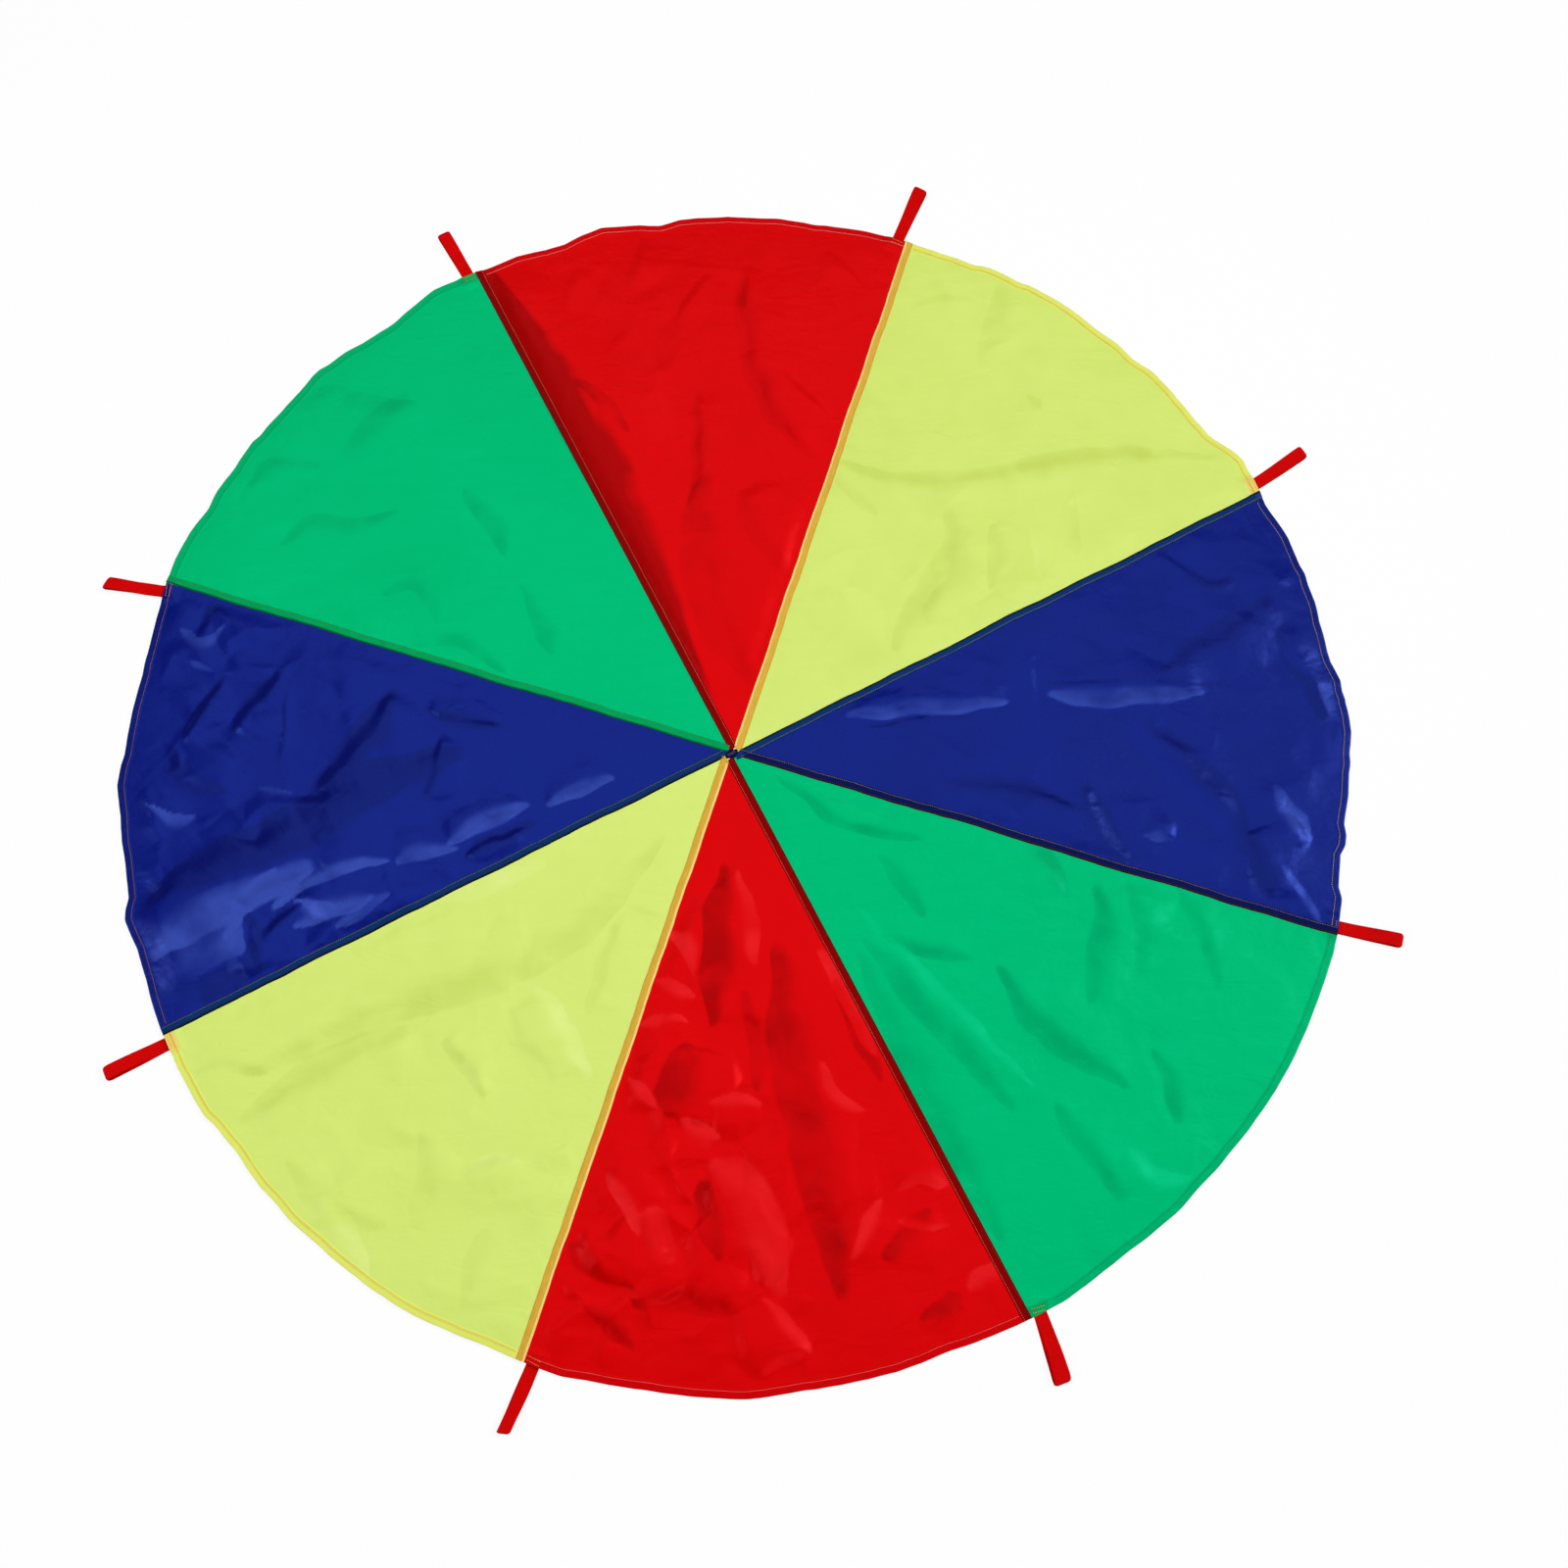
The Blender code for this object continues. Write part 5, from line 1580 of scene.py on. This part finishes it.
class PARACHUTE_OT_stitches(bpy.types.Operator):
    """Sews the seams, the hem, the handles' tails and the middle"""

    bl_idname = "parachute.stitches"
    bl_label = "Sew Stitches"

    def execute(self, context):
        sizes = context.scene.parachute_sizes
        for seam in range(1, GORES + 1):
            edge, tint = (on_screen(*colours) for colours in SEAM_TINTS[seam][1:])
            thread = sewing_thread(f"seam thread {seam}", tint, blended(edge, tint, DRAWN_IN_SHARE))
            self.sew_seam(sizes, seam, thread)
        for gore in range(1, GORES + 1):
            thread = sewing_thread(f"hem thread {gore}", on_screen(*HEM_THREADS[gore]))
            self.sew_hem(sizes, gore, thread)
            self.sew_tail(sizes, gore, sewing_thread(f"tack thread {gore}", on_screen(*TACK_TINT)))
        self.sew_middle(sizes)
        return {"FINISHED"}

    def sew_seam(self, sizes, seam, thread):
        """Two rows, one inside each edge of the seam."""
        stations = np.arange(ROW_START, RADIUS - ROW_STOP, sizes.stitch_step)
        stray = ROW_STRAY * noise_along(stations, ROW_STRAY_SIZE, SEEDS["seam stitches"] + seam)
        rows = []
        for inset in (sizes.row_inset, sizes.seam_width - sizes.row_inset):
            rows.append(np.stack(from_seam(seam, stations, seam_side(seam) * inset + stray), axis=1))
        sew(sizes, f"seam_stitches_{seam}", rows, seam_gore(seam), seam, thread, f"seam_thread_{seam}")

    def sew_hem(self, sizes, gore, thread):
        """One row just outside the hem's inner edge, from seam to seam, and two on the yellow cloth."""
        radius = RADIUS - sizes.hem_width + HEM_ROW
        before = (sizes.seam_width if seam_side(gore) > 0 else 0) + HEM_ROW_GAP
        after = (sizes.seam_width if seam_side(gore + 1) < 0 else 0) + HEM_ROW_GAP
        start, stop = seam_angle(gore) + before / radius, seam_angle(gore + 1) - after / radius
        turn = np.arange(start, stop, sizes.stitch_step / radius)
        stray = noise_along(turn * RADIUS, HEM_STRAY_SIZE, SEEDS["hem stitches"] + gore)
        reach = radius + HEM_STRAY * stray
        row = np.stack([np.cos(turn), np.sin(turn)], axis=1)
        rows = [row * reach[:, None]]
        if cloth_colour(gore) == "yellow":
            rows.append(row * (reach[:, None] + SECOND_ROW))
        sew(sizes, f"hem_stitches_{gore}", rows, gore, None, thread, f"hem_thread_{gore}")

    def sew_tail(self, sizes, handle, thread):
        """Two short rows across the hem where the handle's tail lies under it."""
        place, out, _ = HANDLES[handle]
        across = np.array([-out[1], out[0]])
        half = sizes.webbing_width / 2 - TACK_MARGIN
        runs = np.arange(-half, half, sizes.stitch_step)[:, None]
        rows = [place - out * depth + across * runs for depth in TACK_ROWS]
        sew(sizes, f"tack_stitches_{handle}", rows, handle, None, thread, f"handle_tack_{handle}")

    def sew_middle(self, sizes):
        """A bar tack of close zigzag runs over the knot."""
        runs = np.linspace(-1, 1, BAR_RUNS)
        aside = np.where(np.arange(BAR_RUNS) % 2, 1, -1) * BAR_ASIDE
        flat = np.stack(from_seam(1, runs * BAR_REACH, aside), axis=1)
        points = stitch_points(sizes, flat, BAR_HEIGHT - BAR_FALL * runs**4).reshape(-1, 3)
        thread = sewing_thread("bar tack thread", on_screen(*BAR_TACK_TINT))
        item = new_piece("centre_stitches", points, stitch_quads(BAR_RUNS), thread, STITCH_SHARP)
        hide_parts("centre_bartack")
        carry(item, 3)


# How each handle's loop lies: its tip's slant, its upper run's shift across, its bow, how far it reaches as
# a share of its length, and how much wider it splays at its tip than at its root
HANDLE_LIES = {
    1: (0.03, 0.0010, 0.0016, 0.98, 0.02), 2: (0.14, 0.0012, -0.0012, 0.92, 0.12),
    3: (0.02, -0.0008, 0.0016, 0.91, 0.06), 4: (0.34, 0.0012, 0.0008, 0.95, -0.02),
    5: (0.03, -0.0026, 0.0012, 0.99, 0.03), 6: (-0.26, 0.0014, -0.0020, 0.95, -0.08),
    7: (-0.04, 0.0034, -0.0030, 0.95, 0.22), 8: (0.0, 0.0008, 0.0004, 0.99, 0.02),
}
LOOP_HEIGHT = 0.011
LOOP_JOIN = 0.022

# The webbing's inner end stops this far short of the tail's, and its two runs are this far apart
END_MARGIN = 0.0005
RUN_GAP = 0.00002

# How many points the lower run, the tip, the sinking run and the run back have
LOWER_POINTS, TIP_POINTS, SINK_POINTS, BACK_POINTS = 60, 14, 44, 25

# The webbing's section: how many points each face has, how far they go towards its sides, how much thinner
# than the gap it is, and how high its sides' corners are
FACE_POINTS = 12
FACE_SHARE = 0.97
SECTION_MARGIN = 0.00003
SIDE_SHARE = 0.4

# Where a loop's shape sets in, as shares of its reach: the splay, the slant and the rounding of its tip,
# how far out the upper run's shift grows and how gently it changes over, and how strongly the slant and the
# tip's drawn in corners set in
SPLAY_FROM, SLANT_FROM, TIP_FROM = 0.2, 0.75, 0.90
SHIFT_UNTIL, SHIFT_BLEND = 0.75, 0.01
SLANT_POWER = 1.5
CORNER_DRAW, CORNER_POWER = 0.0022, 6


class PARACHUTE_OT_handles(bpy.types.Operator):
    """Makes the eight loops of woven webbing, from the tail under the hem to the tip and back"""

    bl_idname = "parachute.handles"
    bl_label = "Make Handles"

    def execute(self, context):
        sizes = context.scene.parachute_sizes
        finish = webbing_weave("red webbing", tuple(context.scene.parachute_colours.webbing))
        for handle in range(1, GORES + 1):
            self.make_handle(sizes, handle, finish)
        return {"FINISHED"}

    def run_of(self, sizes, reach):
        """The band's middle line seen edge on, as (out, up): the lower run, a round tip, and the upper
        run that sinks in a smooth S on to the lower one and follows it to the tail's end."""
        thick = sizes.webbing
        tip = (LOOP_HEIGHT - thick) / 2
        end = reach - LOOP_HEIGHT / 2
        inner_end = -TAIL_LENGTH + END_MARGIN
        lower = np.linspace(inner_end, end, LOWER_POINTS)
        lower = np.stack([lower, np.full_like(lower, thick / 2)], axis=1)
        turn = np.radians(np.linspace(-90, 90, TIP_POINTS + 2))[1:-1]
        bend = np.stack([end + tip * np.cos(turn), LOOP_HEIGHT / 2 + tip * np.sin(turn)], axis=1)
        share = np.linspace(0, 1, SINK_POINTS)
        drop = (LOOP_HEIGHT - 2 * thick) * (1 + np.cos(np.pi * share)) / 2
        sink = np.stack([end + (LOOP_JOIN - end) * share, 1.5 * thick + drop], axis=1)
        back = np.linspace(LOOP_JOIN, inner_end, BACK_POINTS + 1)[1:]
        back = np.stack([back, np.full_like(back, 1.5 * thick + RUN_GAP)], axis=1)
        return np.concatenate([lower, bend, sink, back])

    def section_of(self, sizes):
        """The webbing's section as (across, up): its upper face, a side, its lower face and the other."""
        half, thick = sizes.webbing_width / 2, sizes.webbing / 2 - SECTION_MARGIN
        across = np.linspace(-FACE_SHARE, FACE_SHARE, FACE_POINTS) * half
        upper = np.stack([across, np.full(FACE_POINTS, thick)], axis=1)
        side = np.array([[half, thick * SIDE_SHARE], [half, -thick * SIDE_SHARE]])
        return np.concatenate([upper, side, -upper, -side])

    def end_quads(self, row, columns, facing_out):
        """The lid on one end of the webbing: strips between its faces and one quad at each side."""
        index = row * columns + np.arange(columns)
        upper, lower = index[:FACE_POINTS], index[FACE_POINTS + 2:-2][::-1]
        lid = np.stack([upper[:-1], upper[1:], lower[1:], lower[:-1]], axis=1)
        right = index[FACE_POINTS - 1:FACE_POINTS + 3]
        left = np.append(index[-3:], index[0])
        lid = np.concatenate([lid, [right], [left]])
        return lid[:, ::-1] if facing_out else lid

    def make_handle(self, sizes, handle, finish):
        """Carries the webbing's rounded section along the loop's middle line."""
        place, out, reach = HANDLES[handle]
        slant, shift, bow, share, splay = HANDLE_LIES[handle]
        line = self.run_of(sizes, reach * share)
        run = np.gradient(line, axis=0)
        run = run / np.linalg.norm(run, axis=1)[:, None]
        normal = np.stack([-run[:, 1], run[:, 0]], axis=1)
        travelled = np.concatenate([[0], np.cumsum(np.linalg.norm(np.diff(line, axis=0), axis=1))])
        section = self.section_of(sizes)
        half, section_across = sizes.webbing_width / 2, section[None, :, 0]
        far = np.clip(line[:, 0] / (reach * share), 0, 1)
        tip_start, tip_end = travelled[LOWER_POINTS], travelled[LOWER_POINTS + TIP_POINTS]
        back = ramp(travelled, tip_start - SHIFT_BLEND, tip_end + SHIFT_BLEND)
        moved = shift * (back - 0.5) * np.sin(np.pi * np.clip(far, 0, SHIFT_UNTIL)) + bow * far**2
        across = section_across * (1 + splay * ramp(far, SPLAY_FROM, 1.0))[:, None] + moved[:, None]
        skew = slant * section_across * (ramp(far, SLANT_FROM, 1.0) ** SLANT_POWER)[:, None]
        corners = np.abs(section_across / half) ** CORNER_POWER
        skew = skew - CORNER_DRAW * corners * ramp(far, TIP_FROM, 1.0)[:, None]
        along = line[:, None, 0] + normal[:, None, 0] * section[None, :, 1] + skew
        up = line[:, None, 1] + normal[:, None, 1] * section[None, :, 1]
        side = np.array([-out[1], out[0]])
        flat = place + along[..., None] * out + across[..., None] * side
        points = np.concatenate([flat, up[..., None]], axis=-1).reshape(-1, 3)
        rows, columns = across.shape
        quads = grid_quads(rows, columns, closed_rows=True)
        ends = (self.end_quads(0, columns, False), self.end_quads(rows - 1, columns, True))
        name = f"handle_webbing_{handle}"
        item = new_piece(name, points, np.concatenate([quads, *ends]), finish, WEBBING_SHARP)
        along_uv = np.broadcast_to(travelled[:, None], across.shape)
        across_uv = np.broadcast_to(section_across / half / 2 + 0.5, across.shape)
        grid_uv(item, along_uv, across_uv)
        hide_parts(f"handle_tail_{handle}", f"handle_loop_{handle}")
        half_of(handle)
        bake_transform(item)


# Stage

# The camera: its lens in millimetres, how far it is tilted from straight down, which way round it stands,
# how it is rolled, how far off it is, and what it aims at
CAMERA_LENS = 43.09
CAMERA_TILT = math.radians(16.0)
CAMERA_TURN = math.radians(268.72)
CAMERA_ROLL = math.radians(-3.658)
CAMERA_DISTANCE = 3.0546 * RADIUS
CAMERA_AIM = (0.0812 * RADIUS, -0.0583 * RADIUS, 0.0)
SENSOR_WIDTH = 36

# The softboxes: place, aim, width in metres and power in watts
SOFTBOXES = {
    "left softbox": ((-4.0, -0.9, 3.2), (-0.2, 0, 0), 2.0, 64),
    "right softbox": ((7.8, 1.1, 7.0), (0, 0, 0), 4.2, 540),
    "near softbox": ((0.8, -3.6, 3.6), (0, -0.3, 0), 1.8, 36),
    "upper softbox": ((-0.05, 1.0, 3.4), (-0.05, 1.0, 0), 4.4, 80),
}

# The floor: half its width, how far it lies under the cloth, its tones, and how much of its own white the
# camera sees in it, which grows to all of it between two distances from the middle
FLOOR_HALF = 14.0
FLOOR_DEPTH = 0.0006
FLOOR_TONES = (0.93, 0.95)
FLOOR_WHITE = 0.86
WHITE_ALL_FROM = (1.2, 4.5)

# The surround's greys by height, from straight down to straight up
SURROUND = ((0.0, 0.14), (0.8, 0.06))


def camera_matrix():
    """The camera stands back from its aim by its distance, tilted from straight down, then rolled."""
    flat, steep = math.sin(CAMERA_TILT), math.cos(CAMERA_TILT)
    turn_x, turn_y = math.cos(CAMERA_TURN), math.sin(CAMERA_TURN)
    back = Vector((flat * turn_x, flat * turn_y, steep))
    up = Vector((-steep * turn_x, -steep * turn_y, flat))
    right = up.cross(back)
    turned_right = math.cos(CAMERA_ROLL) * right + math.sin(CAMERA_ROLL) * up
    turned_up = math.cos(CAMERA_ROLL) * up - math.sin(CAMERA_ROLL) * right
    turn = Matrix((turned_right, turned_up, back)).transposed().to_4x4()
    return Matrix.Translation(Vector(CAMERA_AIM) + back * CAMERA_DISTANCE) @ turn


class PARACHUTE_OT_stage(bpy.types.Operator):
    """Sets the pale floor, the soft lights and the camera"""

    bl_idname = "parachute.stage"
    bl_label = "Set Stage"

    def execute(self, context):
        scene = context.scene
        scene.view_settings.view_transform = "Standard"
        camera = bpy.data.cameras.new("camera")
        camera.lens = CAMERA_LENS
        camera.sensor_width = SENSOR_WIDTH
        stand = bpy.data.objects.new("camera", camera)
        stand.matrix_world = camera_matrix()
        scene.collection.objects.link(stand)
        scene.camera = stand
        self.lay_floor()
        self.light_world(scene)
        for name, (place, aim, width, power) in SOFTBOXES.items():
            self.hang_softbox(scene, name, place, aim, width, power)
        return {"FINISHED"}

    def lay_floor(self):
        """A wide pale floor just under the cloth. The camera sees it near white, with its shadows."""
        corners = [(-1, -1, 0), (1, -1, 0), (1, 1, 0), (-1, 1, 0)]
        points = np.array(corners) * FLOOR_HALF - (0, 0, FLOOR_DEPTH)
        graph = Graph(bpy.data.materials.new("pale floor"))
        place = graph.place()
        darker, paler = ((tone, tone, tone) for tone in FLOOR_TONES)
        pale = graph.mix(graph.noise(place, scale=1.5, detail=2.0), darker, paler)
        lit = graph.node("ShaderNodeBsdfDiffuse", None, {"Color": pale})
        bright = graph.node("ShaderNodeEmission", None, {"Color": (1, 1, 1), "Strength": 1.0})
        seen = graph.node("ShaderNodeLightPath", output="Is Camera Ray")
        away = graph.node("ShaderNodeVectorMath", {"operation": "LENGTH"}, {0: place}, output="Value")
        share = away.between(*WHITE_ALL_FROM) * (1 - FLOOR_WHITE) + FLOOR_WHITE
        both = graph.node("ShaderNodeMixShader", None, {0: seen * share, 1: lit, 2: bright})
        graph.node("ShaderNodeOutputMaterial", None, {"Surface": both})
        new_piece("floor", points, np.array([[0, 1, 2, 3]]), graph.owner)

    def light_world(self, scene):
        """An even pale surround, white where the camera looks past the floor."""
        scene.world = bpy.data.worlds.new("pale studio")
        graph = Graph(scene.world)
        place = graph.node("ShaderNodeTexCoord", output="Generated")
        height = graph.node("ShaderNodeSeparateXYZ", None, {0: place}, output="Z")
        dome = graph.node("ShaderNodeValToRGB", {"stops": SURROUND}, {0: height})
        soft = graph.node("ShaderNodeBackground", None, {"Color": dome, "Strength": 1.0})
        white = graph.node("ShaderNodeBackground", None, {"Color": (1, 1, 1)})
        seen = graph.node("ShaderNodeLightPath", output="Is Camera Ray")
        both = graph.node("ShaderNodeMixShader", None, {0: seen, 1: soft, 2: white})
        graph.node("ShaderNodeOutputWorld", None, {"Surface": both})

    def hang_softbox(self, scene, name, place, aim, width, power):
        lamp = bpy.data.lights.new(name, "AREA")
        lamp.shape = "SQUARE"
        lamp.size = width
        lamp.energy = power
        box = bpy.data.objects.new(name, lamp)
        box.location = place
        box.rotation_mode = "QUATERNION"
        box.rotation_quaternion = (Vector(aim) - Vector(place)).to_track_quat("-Z", "Y")
        scene.collection.objects.link(box)


class PARACHUTE_PT_panel(bpy.types.Panel):
    """Lists the parachute's steps, sizes and colours"""

    bl_idname = "PARACHUTE_PT_panel"
    bl_label = "Play Parachute"
    bl_space_type = "VIEW_3D"
    bl_region_type = "UI"
    bl_category = "Parachute"

    def draw(self, context):
        for operator in OPERATORS:
            self.layout.operator(operator.bl_idname)
        for group in (context.scene.parachute_sizes, context.scene.parachute_colours):
            box = self.layout.box()
            for name in group.__annotations__:
                box.prop(group, name)


OPERATORS = (
    PARACHUTE_OT_stage,
    PARACHUTE_OT_gores,
    PARACHUTE_OT_seams,
    PARACHUTE_OT_stitches,
    PARACHUTE_OT_handles,
)
CLASSES = (ParachuteSizes, ParachuteColours, *OPERATORS, PARACHUTE_PT_panel)


def register():
    for item in CLASSES:
        bpy.utils.register_class(item)
    bpy.types.Scene.parachute_sizes = PointerProperty(type=ParachuteSizes)
    bpy.types.Scene.parachute_colours = PointerProperty(type=ParachuteColours)


def unregister():
    del bpy.types.Scene.parachute_colours
    del bpy.types.Scene.parachute_sizes
    for item in reversed(CLASSES):
        bpy.utils.unregister_class(item)


def main():
    register()
    bpy.ops.parachute.stage()
    bpy.ops.parachute.gores()
    bpy.ops.parachute.seams()
    bpy.ops.parachute.stitches()
    bpy.ops.parachute.handles()


if __name__ == "__main__":
    main()
